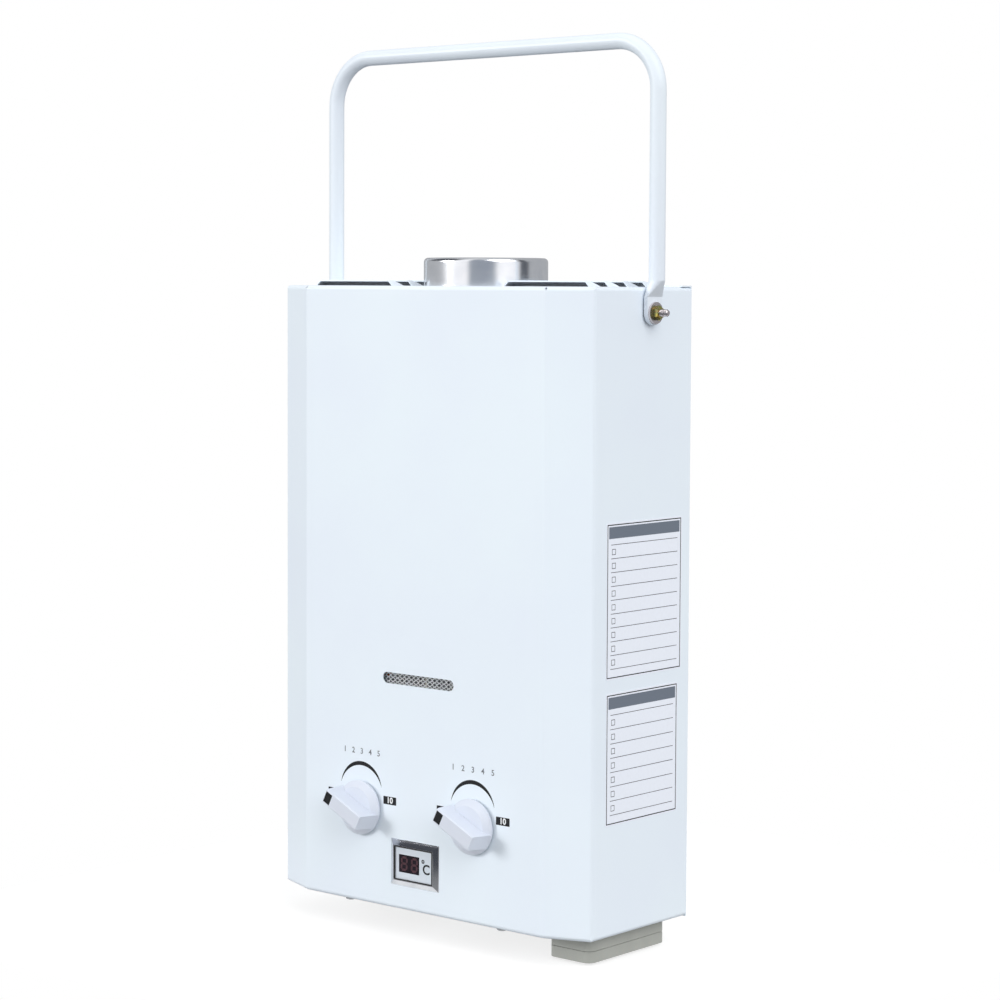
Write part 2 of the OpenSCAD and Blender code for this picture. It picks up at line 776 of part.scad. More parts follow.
module hot_pipe() color(copper) from_base()
    bent_tube([
        [hot_pipe_x, inlet_y, riser_end],
        [hot_pipe_x, inlet_y, 44],
        [hot_x, inlet_y, 44],
        [hot_x, inlet_y, 20]
    ], coil_r, 9);

// ---- knobs ----

// Puts a child on the front at a knob's axis: +Z out of the front, +X along the pointer
module at_knob(x) from_base() translate([x, -body_d, knob_z]) rotate([90, 0, 0])
    rotate([0, 0, pointer_deg]) children();

module knob() {
    r = knob_d / 2;
    difference() {
        union() {
            rotate_extrude() polygon([
                [0, knob_gap], [r - 0.6, knob_gap], [r, knob_gap + 0.6], [r, knob_gap + 2.4],
                [r - 3.4, skirt_h - 0.8], [r - 4.4, skirt_h], [0, skirt_h]
            ]);
            intersection() {
                rotate([90, 0, 0]) linear_extrude(grip_w, center = true)
                    polygon([[-r, 3], [0.8 - r, 5], [3 - r, knob_out], [r + 0.2, knob_out], [r + 1, 3]]);
                rotate([90, 0, 90]) linear_extrude(3 * r, center = true) polygon([
                    [-grip_w / 2, 0], [grip_w / 2, 0], [grip_w / 2 - 0.3, knob_out - 0.7],
                    [grip_w / 2 - 1, knob_out], [1 - grip_w / 2, knob_out], [0.3 - grip_w / 2, knob_out - 0.7]
                ]);
            }
        }
        // hollow back round the hub, then the hub's bore
        rotate_extrude() polygon([[6.5, 0], [r - 2, 0], [r - 2, 3], [r - 5, 5], [6.5, 5]]);
        translate([0, 0, -over]) cylinder(r = stem_r, h = 13 + over);
        pointer_mark(2 * mark_t);
    }
}

// Dark inlay at the grip's pointer end; a thicker one cuts its pocket
module pointer_mark(t = mark_t) translate([knob_d / 2 - 0.3 - mark_l / 2, 0, knob_out - mark_t])
    linear_extrude(t) square([mark_l, mark_w], center = true);

// Stem from the knob's hub into the valve
module stem() translate([0, 0, -36]) cylinder(r = stem_r, h = 36 + 13);

module fire_knob() color(white_plastic) at_knob(fire_x) knob();
module fire_pointer() color(black_plastic) at_knob(fire_x) pointer_mark();
module fire_stem() color(steel) at_knob(fire_x) stem();
module water_knob() color(white_plastic) at_knob(water_x) knob();
module water_pointer() color(black_plastic) at_knob(water_x) pointer_mark();
module water_stem() color(steel) at_knob(water_x) stem();

// ---- ignition ----

module igniter_box() color(black_plastic) from_base() difference() {
    union() {
        translate([-137, -105, 88]) cube([38, 44, 78]);
        translate([-143.5, -102, 80]) cube([3, 38, 94]);
        translate([-141, -95, 96]) cube([5, 24, 62]);
    }
    for (z = [84, 170])
        bar_x(-145, -83, z, 2, 6);
}

// Ceramic post between two burner bars, its wire tip bent back over them
module electrode(x) {
    front = stack_y - 38;
    bar_z(x, front, 100, 2.5, 48);
    bent_pipe([[x, front, 148], [x, front, bar_top + 7], [x, front + 12, bar_top + 7]], 0.9, 3);
}

module ignition_electrode() color(ceramic) from_base() electrode(-bar_pitch);
module flame_sensor() color(ceramic) from_base() electrode(bar_pitch);

module electrode_bracket() color(steel) from_base() difference() {
    translate([0, stack_y - 38, tray_z - 1.5]) linear_extrude(1.5) round_rect(52, 16, 3);
    for (x = [-1, 1])
        bar_z(x * bar_pitch, stack_y - 38, tray_z - 10, 2.5, 12);
    for (x = [-22, 0, 22])
        bar_z(x, stack_y - 38, tray_z - 10, 1.6, 12);
}

module overheat_thermostat() color(black_plastic) from_base() {
    bar_x(-stack_w / 2 - 1.2, stack_y, thermostat_z, 10, 1.2);
    bar_x(-stack_w / 2 - 8, stack_y, thermostat_z, 7.5, 7);
    for (s = [-1, 1])
        translate([-stack_w / 2 - 13, stack_y + s * 4 - 0.4, thermostat_z - 3]) cube([5.5, 0.8, 6]);
}

// Leads from the igniter to the electrodes, the solenoid, the microswitch and the thermostat
module wiring() color(rubber) from_base() {
    front = stack_y - 38;
    bent_pipe([[-99, front, 92], [-bar_pitch, front, 92], [-bar_pitch, front, 100]], 1.6, 6);
    bent_pipe([[-99, front, 88.4], [bar_pitch, front, 88.4], [bar_pitch, front, 100]], 1.3, 5);
    bent_pipe([[-118, -80, 166], [-118, -80, thermostat_z], [-118, stack_y + 4, thermostat_z],
        [-98.5, stack_y + 4, thermostat_z]], 1.2, 6);
    bent_pipe([[-99, -70, 93], [-13, -70, 93], [-13, -70, 104], [-13, valve_y, 104], [-13, valve_y, 99.5]],
        1.2, 3);
}

// ---- display ----

// A raised picture frame: both pairs of sides slope back from the opening
module display_bezel() color(steel) from_base() translate([bezel_x, -body_d, bezel_z]) rotate([90, 0, 0])
    difference() {
        intersection() {
            rotate([90, 0, 0]) linear_extrude(2 * bezel_h, center = true) bevel(bezel_w / 2);
            rotate([90, 0, 90]) linear_extrude(2 * bezel_w, center = true) bevel(bezel_h / 2);
        }
        translate([0, 0, -5]) linear_extrude(12) square([bezel_w - 9.6, bezel_h - 9.6], center = true);
        intersection() {
            rotate([90, 0, 0]) linear_extrude(2 * bezel_h, center = true) flare(bezel_w / 2 - 4.8);
            rotate([90, 0, 90]) linear_extrude(2 * bezel_w, center = true) flare(bezel_h / 2 - 4.8);
        }
        translate([0, 0, -over]) linear_extrude(over) difference() {
            square([2 * bezel_w, 2 * bezel_h], center = true);
            square([bezel_w - 8.4, bezel_h - 8.4], center = true);
        }
    }

module bevel(half) polygon([[-half, -over], [-half, 1.4], [1.6 - half, 4.4], [half - 1.6, 4.4], [half, 1.4],
    [half, -over]]);
module flare(half) polygon([[-half, 2], [-half - 1.4, 5], [half + 1.4, 5], [half, 2]]);

module display_plate() color(steel) from_base() on_front(bezel_x, -body_d - 1.6, bezel_z, 1.2) difference() {
    square([bezel_w - 9.6, bezel_h - 9.6], center = true);
    translate([window_dx, 0]) square([window_w, window_h], center = true);
}

module display_window() color(black_plastic) from_base()
    on_front(bezel_x + window_dx, -body_d - 1.4, bezel_z, 2) square([window_w, window_h], center = true);

module display_board() color(board_green) from_base() {
    on_front(bezel_x, -body_d + 5, bezel_z, 1.6) round_rect(62, 40, 2);
    on_front(bezel_x + window_dx, -body_d + 0.6, bezel_z, 4.4) square([window_w, window_h], center = true);
    for (x = [-26, 26], z = [-16, 16])
        bar_y(bezel_x + x, -body_d + sheet_t, bezel_z + z, 2.5, 4);
}

// ---- battery box ----

// Hinge ears under the box's rear wall
module ears() for (side = [-1, 1])
    translate([battery_x + side * ear_x, 0, 0]) rotate([90, 0, 90]) linear_extrude(ear_t, center = true) {
        translate([hinge_y, hinge_z]) circle(lid_t / 2);
        translate([hinge_y - lid_t / 2, hinge_z])
            square([box_y + battery_l / 2 - box_wall / 2 - hinge_y + lid_t / 2, box_z - hinge_z + 3]);
    }

module cell_places() for (s = [-1, 1])
    translate([battery_x, box_y + s * cell_step, box_z + 1.5]) children();

module battery_box() color(grey_plastic) from_base() difference() {
    union() {
        difference() {
            union() {
                translate([0, 0, box_z]) linear_extrude(box_top - box_z) battery_plan(0);
                translate([0, 0, 2 * sheet_t]) linear_extrude(2) battery_plan(1.5);
            }
            translate([0, 0, box_z - over]) linear_extrude(box_top - box_z - box_wall + over)
                battery_plan(-box_wall);
        }
        ears();
    }
    bar_x(battery_x - battery_w, hinge_y, hinge_z, hinge_r, 2 * battery_w);
}

module batteries() color(brass) from_base() cell_places() {
    cylinder(r = cell_d / 2, h = cell_h);
    translate([0, 0, cell_h]) cylinder(r = 4.5, h = 1.5);
}

module battery_contacts() color(steel) from_base() {
    top = box_top - box_wall;
    for (s = [-1, 1])
        translate([battery_x, box_y + s * cell_step, top - 0.6]) {
            linear_extrude(0.6) round_rect(26, 26, 3);
            mirror([0, 0, 1]) cylinder(r = 5, h = top - 0.6 - box_z - 1.5 - cell_h - 1.5);
        }
}

// Lid with a round knuckle along its rear edge, cut out round the box's ears
module battery_door() color(grey_plastic) from_base() difference() {
    intersection() {
        translate([0, 0, -battery_drop]) linear_extrude(lid_t) battery_plan(0);
        union() {
            bar_x(battery_x - battery_w, hinge_y, hinge_z, lid_t / 2, 2 * battery_w);
            translate([battery_x - battery_w, box_y - battery_l, -battery_drop])
                cube([2 * battery_w, hinge_y - box_y + battery_l, lid_t]);
        }
    }
    for (side = [-1, 1])
        translate([battery_x + side * ear_x, hinge_y + battery_l / 2 - lid_t / 2 - gap, hinge_z])
            cube([ear_t + 2 * gap, battery_l, 2 * lid_t], center = true);
    bar_x(battery_x - battery_w, hinge_y, hinge_z, hinge_r + run_fit, battery_w + pin_half);
    // shallow tray inside
    translate([battery_x, box_y - 4, -battery_drop + box_wall]) linear_extrude(lid_t)
        round_rect(battery_w - 12, battery_l - 26, 3);
}

module door_contact() color(steel) from_base()
    translate([battery_x, box_y - 4, -battery_drop + box_wall]) linear_extrude(0.6) round_rect(18, 54, 3);

module door_pin() color(steel) from_base()
    bar_x(battery_x - pin_half, hinge_y, hinge_z, hinge_r, 2 * pin_half - 0.1);

// ---- carry handle ----

module handle_run(r) {
    arm = handle_span / 2;
    low = pivot_z + 22;
    top = pivot_z + handle_reach;
    bent_pipe([[-arm, -pivot_y, low], [-arm, -pivot_y, top], [arm, -pivot_y, top], [arm, -pivot_y, low]],
        r, handle_bend);
}

module carry_handle() color(white_paint) from_base() {
    difference() {
        handle_run(handle_d / 2);
        handle_run(handle_d / 2 - 1.2);
    }
    mirrored() {
        translate([0, -pivot_y, pivot_z]) difference() {
            union() {
                translate([plate_x, 0, 0]) rotate([0, 90, 0]) cylinder(r = plate_w / 2, h = plate_t);
                translate([plate_x, -plate_w / 2, 0]) cube([plate_t, plate_w, 11]);
            }
            translate([plate_x - over, 0, 0]) rotate([0, 90, 0])
                cylinder(r = pivot_d / 2 + run_fit, h = plate_t + 2 * over);
        }
        hull($fn = 32) {
            translate([plate_x, -pivot_y - plate_w / 2, pivot_z + 10.9]) cube([plate_t, plate_w, 0.1]);
            translate([handle_span / 2, -pivot_y, pivot_z + 22]) cylinder(r = handle_d / 2, h = 0.1);
        }
    }
}

module at_pivot(x) from_base() mirrored() translate([x, -pivot_y, pivot_z]) rotate([0, 90, 0]) children();

module handle_bolts() color(zinc) at_pivot(body_w / 2) {
    translate([0, 0, -sheet_t - 4]) cylinder(r = 5.7, h = 4, $fn = 6);
    translate([0, 0, -sheet_t]) cylinder(r = pivot_d / 2, h = bolt_end - body_w / 2 + sheet_t - 0.8);
    translate([0, 0, bolt_end - body_w / 2 - 0.8])
        cylinder(r1 = pivot_d / 2, r2 = pivot_d / 2 - 0.8, h = 0.8);
}

module ring(inner, outer, t) difference() {
    cylinder(r = outer, h = t);
    translate([0, 0, -over]) cylinder(r = inner, h = t + 2 * over);
}

module handle_spacers() color(black_plastic) at_pivot(body_w / 2)
    ring(pivot_d / 2, 7, plate_x - body_w / 2 - 0.1);

module handle_washers() color(zinc) at_pivot(plate_x + plate_t + 0.1)
    ring(pivot_d / 2, 7.5, 1.5);

module handle_nuts() color(zinc) at_pivot(plate_x + plate_t + 1.6) difference() {
    intersection() {
        cylinder(r = 5.8, h = 5, $fn = 6);
        rotate_extrude() polygon([[0, 0], [5.1, 0], [5.9, 0.8], [5.9, 4.2], [5.1, 5], [0, 5]]);
    }
    translate([0, 0, -over]) cylinder(r = pivot_d / 2, h = 8);
}

front_cover();
back_panel();
bottom_plate();
cover_screws();
chassis_brackets();
sight_mesh();
flue_collar();
flue_hood();
combustion_chamber();
exchanger_shell();
exchanger_fins();
exchanger_tubes();
chamber_coil();
burner_tray();
burner_bars();
gas_manifold();
gas_riser();
gas_valve();
solenoid_valve();
water_valve();
diaphragm();
diaphragm_cover();
push_rod();
microswitch();
gas_inlet();
cold_inlet();
hot_outlet();
relief_valve();
cold_pipe();
hot_pipe();
fire_knob();
fire_pointer();
fire_stem();
water_knob();
water_pointer();
water_stem();
igniter_box();
ignition_electrode();
flame_sensor();
electrode_bracket();
overheat_thermostat();
wiring();
display_bezel();
display_plate();
display_window();
display_board();
battery_box();
batteries();
battery_contacts();
battery_door();
door_contact();
door_pin();
carry_handle();
handle_bolts();
handle_spacers();
handle_washers();
handle_nuts();
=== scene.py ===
"""Looks of a portable propane water heater: finishes, printed dials, display, wire mesh, threads and studio.

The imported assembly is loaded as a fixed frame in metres. Sizes here are in millimetres where nothing else is
said, and are turned into metres where a mesh is made.
"""
import logging
import math
from dataclasses import dataclass, field
from enum import Enum
from functools import cache
from typing import Callable, Iterable, Sequence, Union

import bmesh
import bpy
from mathutils import Matrix, Vector


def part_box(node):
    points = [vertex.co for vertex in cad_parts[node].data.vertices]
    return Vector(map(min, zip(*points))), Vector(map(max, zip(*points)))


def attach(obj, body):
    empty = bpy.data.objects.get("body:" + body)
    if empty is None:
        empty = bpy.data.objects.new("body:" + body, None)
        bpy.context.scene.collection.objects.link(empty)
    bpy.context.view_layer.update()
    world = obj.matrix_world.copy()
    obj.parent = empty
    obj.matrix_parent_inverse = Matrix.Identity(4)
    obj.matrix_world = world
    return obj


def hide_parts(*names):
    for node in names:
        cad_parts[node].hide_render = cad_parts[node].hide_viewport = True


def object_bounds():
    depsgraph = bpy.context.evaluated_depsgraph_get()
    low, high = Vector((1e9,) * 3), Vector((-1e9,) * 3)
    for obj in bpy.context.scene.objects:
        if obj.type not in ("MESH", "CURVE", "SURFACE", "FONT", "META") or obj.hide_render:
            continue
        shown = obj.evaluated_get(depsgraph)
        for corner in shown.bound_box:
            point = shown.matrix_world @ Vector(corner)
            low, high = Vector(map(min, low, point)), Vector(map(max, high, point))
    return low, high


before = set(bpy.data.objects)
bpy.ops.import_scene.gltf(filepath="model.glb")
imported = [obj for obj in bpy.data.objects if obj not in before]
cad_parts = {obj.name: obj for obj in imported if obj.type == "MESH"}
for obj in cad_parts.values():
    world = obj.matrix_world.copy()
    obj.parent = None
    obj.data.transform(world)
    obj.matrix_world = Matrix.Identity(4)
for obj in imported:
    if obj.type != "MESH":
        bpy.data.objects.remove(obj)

LOG = logging.getLogger("heater")
MM = 0.001
RGB = tuple[float, float, float]
Point2 = tuple[float, float]
Filler = Callable[[bmesh.types.BMesh], None]
CAD_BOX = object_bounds()


def srgb(red: int, green: int, blue: int) -> RGB:
    """Turns a colour as the eye reads it off a picture into the linear values that shaders take.

    Args:
        red, green, blue: The channels, from 0 to 255.

    Returns:
        The linear colour, each channel from 0 to 1.
    """
    shares = (value / 255 for value in (red, green, blue))
    return tuple(c / 12.92 if c <= 0.04045 else ((c + 0.055) / 1.055) ** 2.4 for c in shares)


# ---- node trees ----------------------------------------------------------------------------------


class Wire:
    """A node's output that takes part in plain arithmetic; each expression adds its Math nodes."""

    def __init__(self, graph: "Graph", socket: bpy.types.NodeSocket) -> None:
        """Wraps a socket of the graph's tree."""
        self.graph = graph
        self.socket = socket

    def math(self, operation: str, *values: "Number", clamp: bool = False) -> "Wire":
        """Adds a Math node.

        Args:
            operation: The Math node's operation.
            values: All the operands in order, wires or numbers.
            clamp: Whether the result is kept from 0 to 1.

        Returns:
            The result.
        """
        node = self.graph.node(
            "ShaderNodeMath", {"operation": operation, "use_clamp": clamp}, dict(enumerate(values))
        )
        return Wire(self.graph, node.outputs[0])

    def __add__(self, other: "Number") -> "Wire":
        """self + other."""
        return self.math("ADD", self, other)

    def __radd__(self, other: "Number") -> "Wire":
        """other + self."""
        return self.math("ADD", other, self)

    def __sub__(self, other: "Number") -> "Wire":
        """self - other."""
        return self.math("SUBTRACT", self, other)

    def __mul__(self, other: "Number") -> "Wire":
        """self * other."""
        return self.math("MULTIPLY", self, other)

    def __rmul__(self, other: "Number") -> "Wire":
        """other * self."""
        return self.math("MULTIPLY", other, self)

    def __truediv__(self, other: "Number") -> "Wire":
        """self / other."""
        return self.math("DIVIDE", self, other)

    def above(self, low: float, high: float) -> "Wire":
        """Rises from 0 at low to 1 at high and is clamped outside."""
        return self.math("MULTIPLY", self - low, 1 / (high - low), clamp=True)


Number = Union[float, Wire]
Feed = Union[Number, Sequence[float], bool, int, str, bpy.types.Object, bpy.types.Material]


class Graph:
    """Writes nodes into one tree, of a material, the world or a geometry group."""

    def __init__(self, tree: bpy.types.NodeTree) -> None:
        """Starts writing into a tree."""
        self.tree = tree

    def node(self, kind: str, settings: dict | None = None, inputs: dict | None = None) -> bpy.types.Node:
        """Adds a node.

        Args:
            kind: The node's type name.
            settings: Properties of the node, set first; "stops" holds a ramp's (place, colour) pairs.
            inputs: Values or wires for its sockets, by name or number.

        Returns:
            The node.
        """
        made = self.tree.nodes.new(kind)
        for key, value in (settings or {}).items():
            if key == "stops":
                self._set_stops(made.color_ramp, value)
            else:
                setattr(made, key, value)
        for key, value in (inputs or {}).items():
            self.feed(made.inputs[key], value)
        return made

    def out(
        self, kind: str, settings: dict | None = None, inputs: dict | None = None, name: str | int = 0
    ) -> Wire:
        """Adds a node and returns one of its outputs as a wire."""
        return Wire(self, self.node(kind, settings, inputs).outputs[name])

    def feed(self, socket: bpy.types.NodeSocket, value: Feed) -> None:
        """Links a wire to a socket, or sets the socket's own value.

        Args:
            socket: The input socket.
            value: The wire, or the value; a colour may have three channels.
        """
        if isinstance(value, Wire):
            self.tree.links.new(value.socket, socket)
        elif socket.type == "RGBA" and len(value) == 3:
            socket.default_value = (*value, 1.0)
        else:
            socket.default_value = value

    def feed_all(self, node: bpy.types.Node, **values: Feed) -> None:
        """Feeds several sockets of a node, named with _ for a space.

        Args:
            node: The node.
            values: A wire or value for each socket.
        """
        for key, value in values.items():
            self.feed(node.inputs[key.replace("_", " ")], value)

    @staticmethod
    def _set_stops(ramp: bpy.types.ColorRamp, stops: Sequence[tuple[float, RGB]]) -> None:
        """Gives a colour ramp its stops.

        Args:
            ramp: The ramp.
            stops: (place, colour) pairs in order.
        """
        while len(ramp.elements) < len(stops):
            ramp.elements.new(0.5)
        for element, (place, colour) in zip(ramp.elements, stops):
            element.position = place
            element.color = (*colour, 1.0)

    def place(self) -> Wire:
        """The surface point in the part's own frame, in metres."""
        return self.out("ShaderNodeTexCoord", name="Object")

    def vector(self, **parts: Number) -> Wire:
        """Puts X, Y and Z together; those left out are 0."""
        return self.out("ShaderNodeCombineXYZ", None, parts, "Vector")

    def noise(
        self, at: Wire, grain_mm: float, detail: float = 2.0, stretch: Sequence[float] = (1, 1, 1)
    ) -> Wire:
        """Adds noise with a real grain size.

        Args:
            at: The point.
            grain_mm: The size of its patches in millimetres.
            detail: How many finer layers it has.
            stretch: How much longer the grain is along each axis.

        Returns:
            A value of about 0.3 to 0.7.
        """
        scale = [1 / (grain_mm * MM * s) for s in stretch]
        scaled = self.mapping(at, Scale=scale)
        return self.out("ShaderNodeTexNoise", None, {"Vector": scaled, "Scale": 1.0, "Detail": detail}, 0)

    def mapping(self, at: Wire, **values: Feed) -> Wire:
        """Scales or shifts a point."""
        node = self.node("ShaderNodeMapping", {"vector_type": "POINT"}, {"Vector": at, **values})
        return Wire(self, node.outputs["Vector"])

    def cells(self, at: Wire, size_mm: float, name: str = "Distance") -> Wire:
        """Adds Voronoi cells of a real size."""
        return self.out("ShaderNodeTexVoronoi", None, {"Vector": at, "Scale": 1 / (size_mm * MM)}, name)

    def ramp(self, value: Number, stops: Sequence[tuple[float, RGB]]) -> Wire:
        """Turns a value into a colour between stops."""
        return self.out("ShaderNodeValToRGB", {"stops": stops}, {0: value}, "Color")

    def mix(self, factor: Number, first: Wire | RGB, second: Wire | RGB) -> Wire:
        """Mixes two colours."""
        node = self.node("ShaderNodeMix", {"data_type": "RGBA"}, {0: factor, 6: first, 7: second})
        return Wire(self, node.outputs[2])

    def bump(self, height: Wire, depth_mm: float, strength: float = 1.0) -> Wire:
        """Turns a height of 0 to 1 into a normal, for relief of a real depth."""
        values = {"Height": height, "Distance": depth_mm * MM, "Strength": strength}
        return self.out("ShaderNodeBump", None, values, "Normal")

    def axis(self, at: Wire, name: str) -> Wire:
        """One coordinate of a point, in metres."""
        return self.out("ShaderNodeSeparateXYZ", None, {"Vector": at}, name)


# ---- finishes ------------------------------------------------------------------------------------


@dataclass(frozen=True)
class Finish:
    """A surface finish; each kind says how it dresses the shader.

    Args:
        name: The material's name.
        colour: The main colour, linear.
        roughness: The middle of its roughness.
    """

    name: str
    colour: RGB
    roughness: float = 0.4

    def dress(self, graph: Graph, shader: bpy.types.Node) -> None:
        """Feeds the shader of a new material.

        Args:
            graph: Writes into the material's tree.
            shader: The shader node of that tree.
        """
        raise NotImplementedError


@cache
def material_of(finish: Finish) -> bpy.types.Material:
    """Makes a finish's material once.

    Args:
        finish: The finish.

    Returns:
        Its node material.
    """
    material = bpy.data.materials.new(finish.name)
    material.use_nodes = True
    graph = Graph(material.node_tree)
    shader = material.node_tree.nodes["Principled BSDF"]
    finish.dress(graph, shader)
    return material


@dataclass(frozen=True)
class PowderCoat(Finish):
    """Baked powder paint: a faint orange peel, a finer grain and slow drifts of colour.

    Args:
        drift: The colour that it drifts to.
        peel_mm: The depth of its orange peel.
    """

    drift: RGB = (0.8, 0.8, 0.8)
    peel_mm: float = 0.012

    def dress(self, graph: Graph, shader: bpy.types.Node) -> None:
        """Feeds the shader of a new material.

        Args:
            graph: Writes into the material's tree.
            shader: The shader node of that tree.
        """
        at = graph.place()
        grain = graph.noise(at, 0.25)
        peel = graph.noise(at, 1.6)
        cloud = graph.noise(at, 130.0, 3.0)
        graph.feed_all(
            shader,
            Base_Color=graph.mix(cloud.above(0.38, 0.62), self.colour, self.drift),
            Roughness=self.roughness - 0.04 + 0.12 * grain,
            Normal=graph.bump(peel + 0.25 * grain, self.peel_mm),
            Specular_IOR_Level=0.42,
        )


@dataclass(frozen=True)
class MouldedPlastic(Finish):
    """Injection-moulded plastic with a spark-eroded grain and slight flow marks.

    Args:
        grain_mm, relief_mm: Size and depth of its grain.
        flow: How much the flow marks change its roughness.
        dull: How bright it is inside a flow mark, as a share.
    """

    grain_mm: float = 0.35
    relief_mm: float = 0.006
    flow: float = 0.05
    dull: float = 0.94

    def dress(self, graph: Graph, shader: bpy.types.Node) -> None:
        """Feeds the shader of a new material.

        Args:
            graph: Writes into the material's tree.
            shader: The shader node of that tree.
        """
        at = graph.place()
        grain = graph.noise(at, self.grain_mm)
        flow = graph.noise(at, 14.0, 3.0, (1, 1, 3))
        shade = tuple(c * self.dull for c in self.colour)
        graph.feed_all(
            shader,
            Base_Color=graph.mix(flow.above(0.35, 0.65), self.colour, shade),
            Roughness=self.roughness - self.flow / 2 + self.flow * flow + 0.06 * grain,
            Normal=graph.bump(grain, self.relief_mm),
        )


@dataclass(frozen=True)
class Print(Finish):
    """Pad-printed or screen-printed ink: even, with a fine tooth."""

    def dress(self, graph: Graph, shader: bpy.types.Node) -> None:
        """Feeds the shader of a new material.

        Args:
            graph: Writes into the material's tree.
            shader: The shader node of that tree.
        """
        at = graph.place()
        tooth = graph.noise(at, 0.18)
        thin = graph.noise(at, 2.5, 4.0)
        lighter = tuple(c * 0.97 + 0.008 for c in self.colour)
        graph.feed_all(
            shader,
            Base_Color=graph.mix(thin.above(0.4, 0.7), self.colour, lighter),
            Roughness=self.roughness + 0.1 * tooth,
            Normal=graph.bump(tooth, 0.002),
            Specular_IOR_Level=0.2,
        )


class Lay(Enum):
    """Which way a metal's fine scratches run."""

    X = (60.0, 1.0, 1.0)
    Y = (1.0, 60.0, 1.0)
    NONE = (1.0, 1.0, 1.0)


@dataclass(frozen=True)
class Metal(Finish):
    """Bare metal: polished, brushed along an axis, or rolled, with drifts of tarnish.

    Args:
        lay: Which way its scratches run.
        scratch_mm, relief_mm: Width and depth of its scratches.
        tarnish: The colour that it drifts to.
        spread: How much the scratches change its roughness.
    """

    lay: Lay = Lay.NONE
    scratch_mm: float = 0.25
    relief_mm: float = 0.002
    tarnish: RGB = (0.5, 0.5, 0.5)
    spread: float = 0.12

    def dress(self, graph: Graph, shader: bpy.types.Node) -> None:
        """Feeds the shader of a new material.

        Args:
            graph: Writes into the material's tree.
            shader: The shader node of that tree.
        """
        at = graph.place()
        scratch = graph.noise(at, self.scratch_mm, 3.0, self.lay.value)
        cloud = graph.noise(at, 18.0, 4.0)
        graph.feed_all(
            shader,
            Base_Color=graph.mix(cloud.above(0.42, 0.72), self.colour, self.tarnish),
            Metallic=1.0,
            Roughness=self.roughness - self.spread / 2 + self.spread * scratch + 0.05 * cloud,
            Normal=graph.bump(scratch, self.relief_mm),
        )


@dataclass(frozen=True)
class SpunMetal(Finish):
    """Sheet spun on a lathe: fine rings round an upright axis.

    Args:
        axis_y_mm: Where that axis stands, in the part's frame.
        ring_mm: The width of a ring.
        tarnish: The colour that it drifts to.
    """

    axis_y_mm: float = -51.0
    ring_mm: float = 0.22
    tarnish: RGB = (0.5, 0.5, 0.5)

    def dress(self, graph: Graph, shader: bpy.types.Node) -> None:
        """Feeds the shader of a new material.

        Args:
            graph: Writes into the material's tree.
            shader: The shader node of that tree.
        """
        at = graph.place()
        centred = graph.mapping(at, Location=(0.0, -self.axis_y_mm * MM, 0.0))
        x = graph.axis(centred, "X")
        y = graph.axis(centred, "Y")
        reach = x.math("SQRT", x * x + y * y)
        across = graph.vector(X=reach, Y=0.0, Z=graph.axis(at, "Z"))
        rings = graph.noise(across, self.ring_mm, 2.0)
        cloud = graph.noise(at, 12.0, 4.0)
        graph.feed_all(
            shader,
            Base_Color=graph.mix(cloud.above(0.4, 0.7), self.colour, self.tarnish),
            Metallic=1.0,
            Roughness=self.roughness - 0.06 + 0.14 * rings,
            Normal=graph.bump(rings, 0.0016),
        )


@dataclass(frozen=True)
class Spangle(Finish):
    """Hot-dip galvanised sheet with crystals that differ in brightness.

    Args:
        crystal_mm: The size of a crystal.
    """

    crystal_mm: float = 5.0

    def dress(self, graph: Graph, shader: bpy.types.Node) -> None:
        """Feeds the shader of a new material.

        Args:
            graph: Writes into the material's tree.
            shader: The shader node of that tree.
        """
        at = graph.place()
        crystals = graph.cells(at, self.crystal_mm, "Color")
        tone = graph.out("ShaderNodeSeparateColor", None, {"Color": crystals}, "Red")
        frost = graph.noise(at, 0.8, 4.0, (1, 4, 1))
        dull = tuple(c * 0.72 for c in self.colour)
        graph.feed_all(
            shader,
            Base_Color=graph.mix(0.7 * tone + 0.3 * frost, self.colour, dull),
            Metallic=0.9,
            Roughness=self.roughness + 0.15 * tone,
            Normal=graph.bump(frost, 0.003),
        )


@dataclass(frozen=True)
class FiredCopper(Finish):
    """Copper sheet and tube that heat has tinted, most where it is lowest.

    Args:
        hot_z_mm, cool_z_mm: The heights, in the part's frame, between which the tint fades.
        oxide, purple, red: The tints from the hottest to the coolest.
    """

    hot_z_mm: float = -250.0
    cool_z_mm: float = -120.0
    oxide: RGB = (0.08, 0.03, 0.03)
    purple: RGB = (0.16, 0.06, 0.10)
    red: RGB = (0.42, 0.15, 0.09)

    def dress(self, graph: Graph, shader: bpy.types.Node) -> None:
        """Feeds the shader of a new material.

        Args:
            graph: Writes into the material's tree.
            shader: The shader node of that tree.
        """
        at = graph.place()
        cloud = graph.noise(at, 16.0, 5.0)
        fine = graph.noise(at, 0.6, 3.0)
        low, high = self.hot_z_mm * MM, self.cool_z_mm * MM
        cool = (graph.axis(at, "Z") + 0.06 * cloud).above(low, high)
        tinted = graph.ramp(
            cool, [(0.0, self.oxide), (0.25, self.purple), (0.5, self.red), (0.8, self.colour)]
        )
        dull = graph.mix(cloud.above(0.45, 0.65), tinted, tuple(c * 0.7 for c in self.colour))
        graph.feed_all(
            shader,
            Base_Color=dull,
            Metallic=0.95,
            Roughness=self.roughness + 0.2 * cloud,
            Normal=graph.bump(fine, 0.004),
        )


